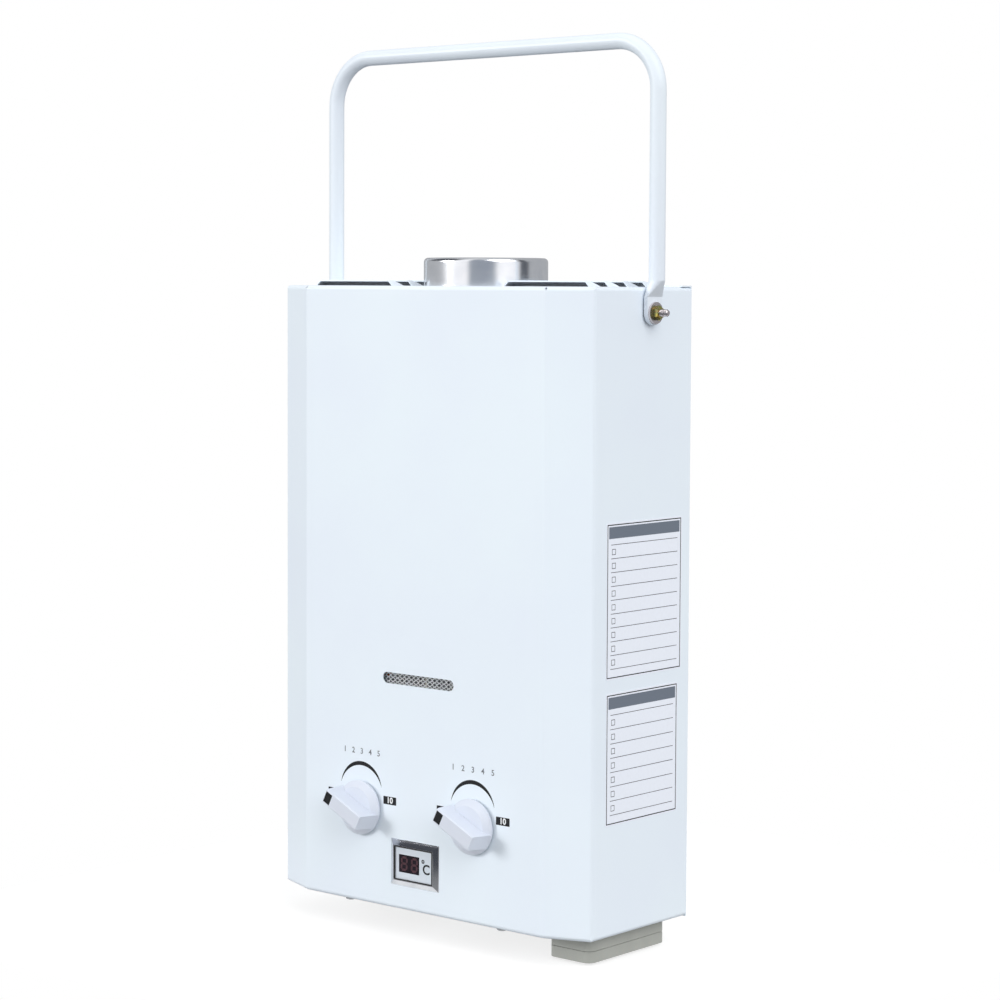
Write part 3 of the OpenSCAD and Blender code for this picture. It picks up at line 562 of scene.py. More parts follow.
@dataclass(frozen=True)
class CastMetal(Finish):
    """Sand or die cast metal with a pitted skin.

    Args:
        pit_mm, relief_mm: Size and depth of its pits.
    """

    pit_mm: float = 0.5
    relief_mm: float = 0.03

    def dress(self, graph: Graph, shader: bpy.types.Node) -> None:
        """Feeds the shader of a new material.

        Args:
            graph: Writes into the material's tree.
            shader: The shader node of that tree.
        """
        at = graph.place()
        pits = graph.noise(at, self.pit_mm, 4.0)
        cloud = graph.noise(at, 9.0, 3.0)
        dull = tuple(c * 0.6 for c in self.colour)
        graph.feed_all(
            shader,
            Base_Color=graph.mix(0.5 * pits + 0.5 * cloud.above(0.4, 0.65), self.colour, dull),
            Metallic=0.9,
            Roughness=self.roughness + 0.25 * pits,
            Normal=graph.bump(pits, self.relief_mm),
        )


@dataclass(frozen=True)
class PassivatedZinc(Finish):
    """Yellow chromate over zinc, which drifts from gold to green and rose.

    Args:
        gold, green, rose: The colours that it drifts to.
    """

    gold: RGB = srgb(214, 182, 92)
    green: RGB = srgb(156, 168, 108)
    rose: RGB = srgb(196, 136, 106)

    def dress(self, graph: Graph, shader: bpy.types.Node) -> None:
        """Feeds the shader of a new material.

        Args:
            graph: Writes into the material's tree.
            shader: The shader node of that tree.
        """
        at = graph.place()
        drift = graph.noise(at, 3.0, 2.0)
        fine = graph.noise(at, 0.3, 2.0)
        film = graph.ramp(
            drift.above(0.3, 0.7),
            [(0.0, self.gold), (0.35, self.colour), (0.65, self.green), (1.0, self.rose)],
        )
        graph.feed_all(
            shader,
            Base_Color=film,
            Metallic=1.0,
            Roughness=self.roughness + 0.12 * fine,
            Normal=graph.bump(fine, 0.003),
        )


@dataclass(frozen=True)
class Board(Finish):
    """Circuit board: green lacquer over copper tracks."""

    def dress(self, graph: Graph, shader: bpy.types.Node) -> None:
        """Feeds the shader of a new material.

        Args:
            graph: Writes into the material's tree.
            shader: The shader node of that tree.
        """
        at = graph.place()
        tracks = graph.cells(at, 3.0).above(0.42, 0.5)
        lighter = tuple(min(1.0, c * 1.7) for c in self.colour)
        graph.feed_all(
            shader,
            Base_Color=graph.mix(tracks, lighter, self.colour),
            Roughness=self.roughness + 0.08 * tracks,
            Normal=graph.bump(tracks, 0.03),
        )


@dataclass(frozen=True)
class CellJacket(Finish):
    """Plain jacket of a dry cell: a dark sleeve with a pale band round its foot.

    Args:
        band: The band's colour.
        band_z_mm: The height of its upper edge, in the part's frame.
    """

    band: RGB = (0.8, 0.8, 0.8)
    band_z_mm: float = -398.0

    def dress(self, graph: Graph, shader: bpy.types.Node) -> None:
        """Feeds the shader of a new material.

        Args:
            graph: Writes into the material's tree.
            shader: The shader node of that tree.
        """
        at = graph.place()
        scuff = graph.noise(at, 1.5, 4.0)
        high = graph.axis(at, "Z").above(self.band_z_mm * MM, (self.band_z_mm + 0.4) * MM)
        graph.feed_all(
            shader,
            Base_Color=graph.mix(high, self.band, self.colour),
            Metallic=0.6,
            Roughness=self.roughness + 0.15 * scuff,
            Normal=graph.bump(scuff, 0.004),
        )


@dataclass(frozen=True)
class Lens(Finish):
    """Smoked display window with faint smears on its polish."""

    def dress(self, graph: Graph, shader: bpy.types.Node) -> None:
        """Feeds the shader of a new material.

        Args:
            graph: Writes into the material's tree.
            shader: The shader node of that tree.
        """
        at = graph.place()
        smear = graph.noise(at, 4.0, 4.0)
        lighter = tuple(c * 1.5 for c in self.colour)
        graph.feed_all(
            shader,
            Base_Color=graph.mix(smear.above(0.4, 0.7), self.colour, lighter),
            Roughness=self.roughness + 0.08 * smear,
            Normal=graph.bump(smear, 0.001),
            Specular_IOR_Level=0.3,
            Coat_Weight=0.1 * smear,
            Coat_Roughness=0.06,
        )


@dataclass(frozen=True)
class Glow(Finish):
    """A display segment: dim red plastic that glows a little unevenly.

    Args:
        strength: How strongly it glows.
    """

    strength: float = 0.15

    def dress(self, graph: Graph, shader: bpy.types.Node) -> None:
        """Feeds the shader of a new material.

        Args:
            graph: Writes into the material's tree.
            shader: The shader node of that tree.
        """
        at = graph.place()
        patch = graph.noise(at, 1.5, 2.0)
        dim = tuple(c * 0.55 for c in self.colour)
        shown = graph.mix(patch.above(0.3, 0.7), dim, self.colour)
        graph.feed_all(
            shader,
            Base_Color=shown,
            Roughness=self.roughness + 0.1 * patch,
            Emission_Color=shown,
            Emission_Strength=self.strength,
        )


PAINT = PowderCoat("casing_white", srgb(233, 243, 251), 0.44, srgb(231, 240, 250))
HANDLE_PAINT = PowderCoat("handle_white", srgb(231, 240, 248), 0.36, srgb(228, 236, 246), 0.006)
KNOB = MouldedPlastic("knob_white", srgb(217, 223, 235), 0.34, 0.3, 0.003, 0.04, 0.985)
MARK = Print("mark_black", srgb(22, 24, 26), 0.42)
INK = Print("ink_black", srgb(26, 27, 30), 0.5)
INK_GREY = Print("ink_grey", srgb(112, 116, 124), 0.5)
INK_WHITE = Print("ink_white", srgb(244, 246, 248), 0.5)
GREY_PLASTIC = MouldedPlastic("grey_abs", srgb(172, 174, 168), 0.42, 0.5, 0.012, 0.06, 0.95)
BLACK_PLASTIC = MouldedPlastic("black_moulding", srgb(30, 31, 34), 0.45, 0.4, 0.01)
RUBBER = MouldedPlastic("black_rubber", srgb(28, 28, 28), 0.7, 0.3, 0.02)
LEAD = MouldedPlastic("lead_sleeve", srgb(104, 30, 26), 0.5, 0.2, 0.004)
CERAMIC = MouldedPlastic("glazed_ceramic", srgb(236, 232, 220), 0.22, 1.0, 0.004)
CHROME = Metal("bright_chrome", srgb(214, 216, 220), 0.09, Lay.NONE, 0.6, 0.0008, srgb(196, 199, 205), 0.05)
PLATE = Metal("brushed_aluminium", srgb(217, 224, 231), 0.4, Lay.X, 0.12, 0.002, srgb(209, 217, 225), 0.14)
STAINLESS = SpunMetal("spun_stainless", srgb(249, 250, 252), 0.17, -51.0, 0.22, srgb(240, 242, 246))
STEEL = Metal("rolled_steel", srgb(176, 178, 182), 0.34, Lay.Y, 0.3, 0.003, srgb(150, 152, 156))
WIRE = Metal("mesh_wire", srgb(250, 251, 253), 0.5, Lay.NONE, 0.2, 0.002, srgb(240, 242, 246))
GALVANISED = Spangle("galvanised_sheet", srgb(190, 194, 198), 0.38)
COPPER = FiredCopper("heated_copper", srgb(216, 142, 104), 0.26)
SOOTED_COPPER = FiredCopper("sooted_copper", srgb(84, 54, 44), 0.5)
BRASS = CastMetal("forged_brass", srgb(212, 180, 104), 0.26, 0.3, 0.008)
CAST = CastMetal("die_cast_alloy", srgb(176, 178, 180), 0.42)
ZINC = PassivatedZinc("yellow_zinc", srgb(206, 188, 104), 0.2)
WHITE_ZINC = Metal("white_zinc", srgb(222, 214, 214), 0.24, Lay.NONE, 0.3, 0.003, srgb(200, 190, 190))
BOARD = Board("green_board", srgb(30, 92, 54), 0.4)
CELL = CellJacket("cell_jacket", srgb(44, 46, 52), 0.32, srgb(196, 176, 110))
LENS = Lens("smoked_lens", srgb(24, 16, 26), 0.16)
SEGMENT = Glow("dim_segment", srgb(68, 18, 36), 0.4, 0.06)
CARD = Print("card_white", srgb(236, 241, 251), 0.55)
CARD_BAND = Print("card_band", srgb(112, 121, 134), 0.55)

NODE_FINISHES: dict[Finish, tuple[str, ...]] = {
    PAINT: ("front_cover", "back_panel"),
    HANDLE_PAINT: ("carry_handle",),
    KNOB: ("fire_knob", "water_knob"),
    MARK: ("fire_pointer", "water_pointer"),
    GREY_PLASTIC: ("battery_box", "battery_door"),
    BLACK_PLASTIC: ("microswitch", "igniter_box", "overheat_thermostat", "handle_spacers"),
    RUBBER: ("diaphragm",),
    LEAD: ("wiring",),
    CERAMIC: ("ignition_electrode", "flame_sensor"),
    CHROME: ("display_bezel",),
    PLATE: ("display_plate",),
    LENS: ("display_window",),
    BOARD: ("display_board",),
    STAINLESS: ("flue_collar",),
    STEEL: ("burner_bars", "push_rod", "fire_stem", "water_stem", "door_pin", "battery_contacts",
            "door_contact", "cover_screws"),
    WIRE: ("sight_mesh",),
    GALVANISED: ("bottom_plate", "chassis_brackets", "flue_hood", "burner_tray", "electrode_bracket"),
    SOOTED_COPPER: ("combustion_chamber",),
    COPPER: ("exchanger_shell", "exchanger_fins", "exchanger_tubes", "chamber_coil", "cold_pipe", "hot_pipe"),
    BRASS: ("gas_inlet", "cold_inlet", "hot_outlet", "relief_valve", "water_valve", "diaphragm_cover",
            "solenoid_valve"),
    CAST: ("gas_manifold", "gas_riser", "gas_valve"),
    ZINC: ("handle_nuts",),
    WHITE_ZINC: ("handle_washers", "handle_bolts"),
    CELL: ("batteries",),
}


def dress_nodes() -> None:
    """Gives every solid of the frame its finish."""
    for finish, names in NODE_FINISHES.items():
        for name in names:
            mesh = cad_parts[name].data
            mesh.materials.clear()
            mesh.materials.append(material_of(finish))
    LOG.info("dressed %d solids", sum(len(names) for names in NODE_FINISHES.values()))


# ---- meshes --------------------------------------------------------------------------------------


def add_object(name: str, mesh: bpy.types.Mesh, finish: Finish) -> bpy.types.Object:
    """Links a new object with one finish.

    Args:
        name: The piece's name.
        mesh: Its mesh, already in place.
        finish: Its finish.

    Returns:
        The object.
    """
    mesh.name = name
    mesh.materials.clear()
    mesh.materials.append(material_of(finish))
    piece = bpy.data.objects.new(name, mesh)
    bpy.context.scene.collection.objects.link(piece)
    return piece


def fix(piece: bpy.types.Object, body: str, slot: str, *replaced: str) -> None:
    """Makes a piece ride on a body and reports it.

    Args:
        piece: The piece.
        body: The body that carries it.
        slot: The record's material slot that it belongs to; not used.
        replaced: Solids of the frame that it stands for.
    """
    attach(piece, body)
    if replaced:
        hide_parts(*replaced)
    LOG.info("%s: %d faces on %s", piece.name, len(piece.data.polygons), body)


def mesh_from(faces_of: Filler, name: str) -> bpy.types.Mesh:
    """Runs a function that fills a bmesh and returns the mesh with outward faces.

    Args:
        faces_of: Adds vertices and faces, in metres.
        name: The mesh's name.

    Returns:
        The mesh.
    """
    shape = bmesh.new()
    faces_of(shape)
    bmesh.ops.remove_doubles(shape, verts=shape.verts, dist=1e-7)
    bmesh.ops.recalc_face_normals(shape, faces=shape.faces)
    mesh = bpy.data.meshes.new(name)
    shape.to_mesh(mesh)
    shape.free()
    return mesh


def joined(*parts: bpy.types.Mesh) -> bpy.types.Mesh:
    """One mesh of several, which are removed.

    Args:
        parts: The meshes.

    Returns:
        The one mesh.
    """
    shape = bmesh.new()
    for part in parts:
        shape.from_mesh(part)
        bpy.data.meshes.remove(part)
    mesh = bpy.data.meshes.new("joined")
    shape.to_mesh(mesh)
    shape.free()
    return mesh


def discard(holder: bpy.types.Object) -> None:
    """Removes an object and its mesh.

    Args:
        holder: The object.
    """
    mesh = holder.data
    bpy.data.objects.remove(holder)
    bpy.data.meshes.remove(mesh)


def bridge(
    shape: bmesh.types.BMesh, loops: Sequence[Sequence[bmesh.types.BMVert]], closed: bool = True
) -> None:
    """Joins loops with the same number of corners, each to the next.

    Args:
        shape: The bmesh that holds them.
        loops: The loops in order; one that has shrunk to a point repeats its corner.
        closed: Whether the last loop is also joined to the first.
    """
    for loop, following in zip(loops, [*loops[1:], *(loops[:1] if closed else [])]):
        for i, corner in enumerate(loop):
            j = (i + 1) % len(loop)
            corners = list(dict.fromkeys((corner, loop[j], following[j], following[i])))
            if len(corners) > 2:
                shape.faces.new(corners)


def mitred_frame(low: Vector, high: Vector, section: Sequence[Point2]) -> Filler:
    """A rectangular frame with mitred corners that faces forwards.

    Args:
        low, high: Corners of the box that it is fitted to, in metres.
        section: (inset, height) pairs in millimetres, the height counted forwards from the box's back.

    Returns:
        A function for mesh_from.
    """

    def build(shape: bmesh.types.BMesh) -> None:
        """Adds a rectangle for each point of the section and joins them round.

        Args:
            shape: The bmesh to fill.
        """
        loops = []
        for inset, height in section:
            rim = inset * MM
            corners = box_corners(low.x + rim, low.z + rim, high.x - rim, high.z - rim)
            y = high.y - height * MM
            loops.append([shape.verts.new((x, y, z)) for x, z in corners])
        bridge(shape, loops)

    return build


@dataclass(frozen=True)
class Face:
    """A flat outside face of the casing, with its own millimetre grid.

    Args:
        origin: Where its grid starts, in metres.
        right, up, out: Its directions.
    """

    origin: Vector
    right: Vector
    up: Vector
    out: Vector

    def at(self, u: float, v: float, lift: float = 0.0) -> Vector:
        """A point u to the right, v up and lift off the face, all in millimetres."""
        return self.origin + (self.right * u + self.up * v + self.out * lift) * MM

    def matrix(self, u: float, v: float, lift: float = 0.0) -> Matrix:
        """Turns a shape drawn in metres on the XY plane, facing +Z, onto the face."""
        turn = Matrix((self.right, self.up, self.out)).transposed().to_4x4()
        return Matrix.Translation(self.at(u, v, lift)) @ turn

    def plate(self, outline: Sequence[Point2], thick: float, sink: float = 0.02) -> Filler:
        """A flat piece with an outline on the face.

        Args:
            outline: Its corners, in the face's millimetres.
            thick: How far it stands off the face.
            sink: How far it goes into the face, so that no gap shows.

        Returns:
            A function for mesh_from.
        """

        def build(shape: bmesh.types.BMesh) -> None:
            """Adds the plate.

            Args:
                shape: The bmesh to fill.
            """
            low = [shape.verts.new(self.at(u, v, -sink)) for u, v in outline]
            top = [shape.verts.new(self.at(u, v, thick)) for u, v in outline]
            shape.faces.new(low)
            shape.faces.new(top)
            for i, corner in enumerate(low):
                following = (i + 1) % len(low)
                shape.faces.new((corner, low[following], top[following], top[i]))

        return build


def forward_face(x: float, y: float, z: float) -> Face:
    """A face that looks forwards, its grid starting at a point in metres."""
    return Face(Vector((x, y, z)), Vector((1, 0, 0)), Vector((0, 0, 1)), Vector((0, -1, 0)))


def front_face() -> Face:
    """The flat front: right along X from the middle, up from the casing's bottom edge."""
    low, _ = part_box("front_cover")
    return forward_face(0, low.y, low.z)


def side_face() -> Face:
    """The right side: right is back from the front plane, up from the casing's bottom edge."""
    low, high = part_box("front_cover")
    return Face(Vector((high.x, low.y, low.z)), Vector((0, 1, 0)), Vector((0, 0, 1)), Vector((1, 0, 0)))


def box_corners(u0: float, v0: float, u1: float, v1: float) -> list[Point2]:
    """Corners of a plain rectangle, counter-clockwise."""
    return [(u0, v0), (u1, v0), (u1, v1), (u0, v1)]


def hollow_box(u0: float, v0: float, u1: float, v1: float, line: float) -> list[list[Point2]]:
    """The four strips that draw a rectangle inside its edges, each with the line's width.

    Args:
        u0, v0: Its lower left corner.
        u1, v1: Its upper right corner.
        line: The line's width.

    Returns:
        The corners of each strip.
    """
    return [
        box_corners(u0, v0, u1, v0 + line),
        box_corners(u0, v1 - line, u1, v1),
        box_corners(u0, v0 + line, u0 + line, v1 - line),
        box_corners(u1 - line, v0 + line, u1, v1 - line),
    ]


def round_box(u0: float, v0: float, u1: float, v1: float, radius: float, steps: int = 4) -> list[Point2]:
    """Corners of a rectangle with round corners, counter-clockwise.

    Args:
        u0, v0: Its lower left corner.
        u1, v1: Its upper right corner.
        radius: The radius of its corners.
        steps: How many edges each round corner has.

    Returns:
        The outline.
    """
    centres = ((u1 - radius, v1 - radius), (u0 + radius, v1 - radius), (u0 + radius, v0 + radius),
               (u1 - radius, v0 + radius))
    return [
        (cu + radius * math.cos(math.radians(90 * (k + i / steps))),
         cv + radius * math.sin(math.radians(90 * (k + i / steps))))
        for k, (cu, cv) in enumerate(centres)
        for i in range(steps + 1)
    ]


def text_mesh(text: str, height: float, thick: float, bold: float = 0.0) -> bpy.types.Mesh:
    """A plain number or sign, centred, as a thin solid facing +Z.

    Args:
        text: The characters.
        height: The height of a digit, in millimetres.
        thick: Its thickness, in millimetres.
        bold: How far its strokes are widened to each side, in millimetres.

    Returns:
        A mesh in metres.
    """
    digit_share = 0.73
    curve = bpy.data.curves.new("sign", "FONT")
    curve.body = text
    curve.align_x = "CENTER"
    curve.align_y = "CENTER"
    curve.size = height * MM / digit_share
    curve.extrude = thick * MM / 2
    curve.offset = bold * MM
    curve.resolution_u = 4
    holder = bpy.data.objects.new("sign", curve)
    mesh = bpy.data.meshes.new_from_object(holder)
    bpy.data.objects.remove(holder)
    bpy.data.curves.remove(curve)
    return mesh


# ---- printed dials -------------------------------------------------------------------------------


@dataclass
class DialPrint:
    """The print round one knob: a crescent, two boxed end marks and a row of plain numbers.

    Args:
        name: Which knob it belongs to.
        centre: Horizontal place of the crescent.
        top: Height of the crescent's top.
        box_right: Lower left corner of the right-hand box.
        box_left: Lower left corner of the left-hand box.
        row: Left end, right end and middle height of the row of numbers.
        half_chord, rise, thickness: The crescent's half width, height and middle thickness.
        box_w, box_h, box_corner: A box's width, height and corner radius.
        ink: The thickness of the print.
        mark_h, mark_bold: Height and widening of the digits in the boxes.
        digit_h, digit_bold: Height and widening of the digits in the row.
        count: The last number of the row.
        face: The face that it is printed on.
    """

    name: str
    centre: float
    top: float
    box_right: Point2
    box_left: Point2
    row: tuple[float, float, float]
    half_chord: float = 19.9
    rise: float = 17.0
    thickness: float = 2.9
    box_w: float = 12.3
    box_h: float = 5.7
    box_corner: float = 0.3
    ink: float = 0.05
    mark_h: float = 4.3
    mark_bold: float = 0.16
    digit_h: float = 4.2
    digit_bold: float = 0.08
    count: int = 5
    face: Face = field(default_factory=front_face)

    def crescent(self) -> list[Point2]:
        """Outline of the crescent, between two arcs on the same chord.

        Returns:
            Its corners on the face.
        """
        base = self.top - self.rise

        def arc(rise: float) -> list[Point2]:
            """Points from the left end over the top to the right end.

            Args:
                rise: The height of the arc over its chord.

            Returns:
                The points.
            """
            radius = (self.half_chord**2 + rise**2) / (2 * rise)
            middle = base + rise - radius
            end = math.atan2(base - middle, self.half_chord)
            steps = 40
            angles = [math.pi - end - (math.pi - 2 * end) * i / steps for i in range(steps + 1)]
            return [(self.centre + radius * math.cos(a), middle + radius * math.sin(a)) for a in angles]

        outer = arc(self.rise)
        inner = arc(self.rise - self.thickness)
        return outer + inner[-2:0:-1]

    def build(self) -> None:
        """Makes the crescent, the boxes, their marks and the numbers."""
        arc = mesh_from(self.face.plate(self.crescent(), self.ink), "arc")
        fix(add_object(f"{self.name}_crescent", arc, INK), "casing", "black_mark")
        for side, corner, digits in (("low", self.box_left, "1"), ("high", self.box_right, "10")):
            u, v = corner
            outline = round_box(u, v, u + self.box_w, v + self.box_h, self.box_corner)
            box = mesh_from(self.face.plate(outline, self.ink), "box")
            fix(add_object(f"{self.name}_{side}_box", box, INK), "casing", "black_mark")
            sign = text_mesh(digits, self.mark_h, self.ink, self.mark_bold)
            sign.transform(self.face.matrix(u + self.box_w / 2, v + self.box_h / 2, 1.5 * self.ink))
            fix(add_object(f"{self.name}_{side}_digits", sign, INK_WHITE), "casing", "casing_paint")
        self.numbers()

    def numbers(self) -> None:
        """Makes the row of plain numbers over the crescent."""
        left, right, height = self.row
        digits = []
        for i in range(self.count):
            digit = text_mesh(str(i + 1), self.digit_h, self.ink, self.digit_bold)
            u = left + (right - left) * (i + 0.5) / self.count
            digit.transform(self.face.matrix(u, height, self.ink / 2))
            digits.append(digit)
        fix(add_object(f"{self.name}_scale", joined(*digits), INK_GREY), "casing", "black_mark")


# ---- display -------------------------------------------------------------------------------------


@dataclass
class Bezel:
    """Chromed frame round the display, whose sides slope up to a thin ridge, and a black strip inside it that
    is painted shade: the shadow of the frame's inner flare round the plate.

    Args:
        profile: The frame's section from the outer edge inwards, as (inset, height) pairs.
        shade_strip_at, shade_strip_w, shade_strip_h: Inset, width and height of the black strip of painted
        shade inside the frame.
        shade_strip_gap: How far that strip lies in front of the plate.
    """

    profile: tuple[Point2, ...] = (
        (0.0, 0.0), (0.0, 1.1), (0.25, 1.4), (1.3, 1.9), (3.5, 3.1), (3.9, 3.4), (4.4, 3.4), (4.7, 3.0),
        (4.8, 1.9), (4.8, 0.0),
    )
    shade_strip_at: float = 4.82
    shade_strip_w: float = 0.35
    shade_strip_h: float = 0.9
    shade_strip_gap: float = 0.02

    def build(self) -> None:
        """Makes the frame in the place of its solid, and the black strip of painted shade inside it."""
        low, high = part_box("display_bezel")
        trim = mesh_from(mitred_frame(low, high, self.profile), "bezel")
        fix(add_object("bezel_frame", trim, CHROME), "casing", "chrome_trim", "display_bezel")
        back = (high.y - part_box("display_plate")[0].y) / MM + self.shade_strip_gap
        front = back + self.shade_strip_h
        outer, inner = self.shade_strip_at, self.shade_strip_at + self.shade_strip_w
        section = ((outer, back), (outer, front), (inner, front), (inner, back))
        # The black strip is painted shade: it stands for the shadow of the frame's inner flare along the
        # plate's edge.
        shade_strip = mesh_from(mitred_frame(low, high, section), "shade_strip")
        fix(add_object("bezel_seal", shade_strip, RUBBER), "casing", "rubber")


@dataclass
class Display:
    """Dim digits on the smoked window and the degree sign on its plate.

    Args:
        digit_w, digit_h, pitch: A digit's width and height, and the distance between the two.
        bar, split: The width of a segment and half the gap between segments.
        slant: How far the digits lean, as a share of their height.
        lift: How far they stand off the window.
        sign_h, sign_bold, sign_ink: Height, widening and thickness of the letter.
        sign_at, ring_at: Places of the letter and the ring, from the middle of the window's right edge.
        ring_radii: The ring's outer and inner radius.
    """

    digit_w: float = 4.8
    digit_h: float = 8.8
    pitch: float = 9.6
    bar: float = 1.6
    split: float = 0.2
    slant: float = 0.05
    lift: float = 0.03
    sign_h: float = 7.2
    sign_bold: float = 0.22
    sign_ink: float = 0.05
    sign_at: Point2 = (6.6, -1.8)
    ring_at: Point2 = (3.6, 3.9)
    ring_radii: Point2 = (1.4, 0.55)

    def segment(
        self, shape: bmesh.types.BMesh, face: Face, start: Point2, end: Point2, origin: Point2
    ) -> None:
        """Adds one six-sided segment.

        Args:
            shape: The bmesh to fill.
            face: The window's face.
            start, end: The segment's ends in the digit's own millimetres.
            origin: The digit's lower left corner on the face.
        """
        along = Vector((end[0] - start[0], end[1] - start[1])).normalized()
        across = Vector((-along.y, along.x)) * self.bar / 2
        first = Vector(start) + along * self.split
        last = Vector(end) - along * self.split
        tip = along * self.bar / 2
        ring = [
            first, first + tip + across, last - tip + across,
            last, last - tip - across, first + tip - across,
        ]
        outline = [(origin[0] + p.x + self.slant * p.y, origin[1] + p.y) for p in ring]
        face.plate(outline, self.lift)(shape)

    def digits(self) -> None:
        """Makes the two digits of seven segments."""
        low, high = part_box("display_window")
        window = forward_face((low.x + high.x) / 2, low.y, (low.z + high.z) / 2)
        w, h, half = self.digit_w, self.digit_h, self.digit_h / 2
        segments = [((0, 0), (w, 0)), ((0, half), (w, half)), ((0, h), (w, h)), ((0, 0), (0, half)),
                    ((w, 0), (w, half)), ((0, half), (0, h)), ((w, half), (w, h))]

        def both(shape: bmesh.types.BMesh) -> None:
            """Adds all segments of both digits.

            Args:
                shape: The bmesh to fill.
            """
            for k in (-1, 1):
                corner = (k * self.pitch / 2 - w / 2 - self.slant * half, -half)
                for start, end in segments:
                    self.segment(shape, window, start, end, corner)

        fix(add_object("display_digits", mesh_from(both, "digits"), SEGMENT), "casing", "display_lens")

    def degree_sign(self) -> None:
        """Makes the degree sign to the right of the window."""
        low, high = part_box("display_window")
        plate_low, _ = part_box("display_plate")
        face = forward_face(high.x, plate_low.y, (low.z + high.z) / 2)
        sign = text_mesh("C", self.sign_h, self.sign_ink, self.sign_bold)
        sign.transform(face.matrix(*self.sign_at, 0.4 * self.sign_ink))
        fix(add_object("degree_letter", sign, INK), "casing", "black_mark")
        u, v = self.ring_at
        steps = 24
        turns = [2 * math.pi * i / steps for i in range(steps)]

        def ring(shape: bmesh.types.BMesh) -> None:
            """Adds the small ring as a flat band.

            Args:
                shape: The bmesh to fill.
            """
            outer, inner = self.ring_radii
            front, back = 0.9 * self.sign_ink, -0.4 * self.sign_ink
            bridge(shape, [
                [shape.verts.new(face.at(u + r * math.cos(t), v + r * math.sin(t), lift)) for t in turns]
                for r, lift in ((outer, front), (inner, front), (inner, back), (outer, back))
            ])

        fix(add_object("degree_ring", mesh_from(ring, "ring"), INK), "casing", "black_mark")

    def build(self) -> None:
        """Makes the digits and the degree sign."""
        self.digits()
        self.degree_sign()


# ---- geometry nodes ------------------------------------------------------------------------------


class Tree:
    """A geometry node tree with named inputs, applied to a plain mesh."""

    def __init__(self, name: str, inputs: Sequence[tuple[str, str, Feed]]) -> None:
        """Starts a tree.

        Args:
            name: Its name.
            inputs: (name, socket type, default) of each size that it takes.
        """
        self.group = bpy.data.node_groups.new(name, "GeometryNodeTree")
        self.graph = Graph(self.group)
        self.keys: dict[str, str] = {}
        for label, kind, default in inputs:
            socket = self.group.interface.new_socket(label, in_out="INPUT", socket_type=kind)
            socket.default_value = default
            self.keys[label] = socket.identifier
        self.group.interface.new_socket("Geometry", in_out="OUTPUT", socket_type="NodeSocketGeometry")
        self.given = self.group.nodes.new("NodeGroupInput")

    def size(self, label: str) -> Wire:
        """The wire of one named input."""
        return Wire(self.graph, self.given.outputs[label])

    def swept(self, path: Wire, radius: Wire, sides: int) -> Wire:
        """A capped tube along a curve, with a few flat sides.

        Args:
            path: The curve.
            radius: The tube's radius.
            sides: How many sides it has.

        Returns:
            The tube.
        """
        ring = self.graph.out(
            "GeometryNodeCurvePrimitiveCircle", None, {"Resolution": sides, "Radius": radius}
        )
        return self.graph.out(
            "GeometryNodeCurveToMesh", None, {"Curve": path, "Profile Curve": ring, "Fill Caps": True}
        )

    def row(self, count: Wire | int, first: Wire, step: Wire) -> Wire:
        """A straight row of points.

        Args:
            count: How many points it has.
            first: The first point.
            step: The way from one point to the next.

        Returns:
            The row.
        """
        inputs = {"Count": count, "Start Location": first, "Offset": step}
        return self.graph.out("GeometryNodeMeshLine", {"mode": "OFFSET"}, inputs)

    def finish(self, geometry: Wire, finish: Finish) -> None:
        """Ends the tree in Realize Instances and Set Material.

        Args:
            geometry: What the tree has made.
            finish: Its finish.
        """
        graph = self.graph
        real = graph.out("GeometryNodeRealizeInstances", None, {"Geometry": geometry})
        dressed = graph.out(
            "GeometryNodeSetMaterial", None, {"Geometry": real, "Material": material_of(finish)}
        )
        end = self.group.nodes.new("NodeGroupOutput")
        self.group.links.new(dressed.socket, end.inputs[0])

    def mesh(self, **sizes: Feed) -> bpy.types.Mesh:
        """Runs the tree and returns its result as a plain mesh.

        Args:
            sizes: Values of the named inputs.

        Returns:
            The mesh.
        """
        holder = bpy.data.objects.new("run", bpy.data.meshes.new("run"))
        bpy.context.scene.collection.objects.link(holder)
        modifier = holder.modifiers.new("run", "NODES")
        modifier.node_group = self.group
        for label, value in sizes.items():
            modifier[self.keys[label]] = value
        bpy.context.view_layer.update()
        result = bpy.data.meshes.new_from_object(holder.evaluated_get(bpy.context.evaluated_depsgraph_get()))
        holder.modifiers.clear()
        discard(holder)
        return result


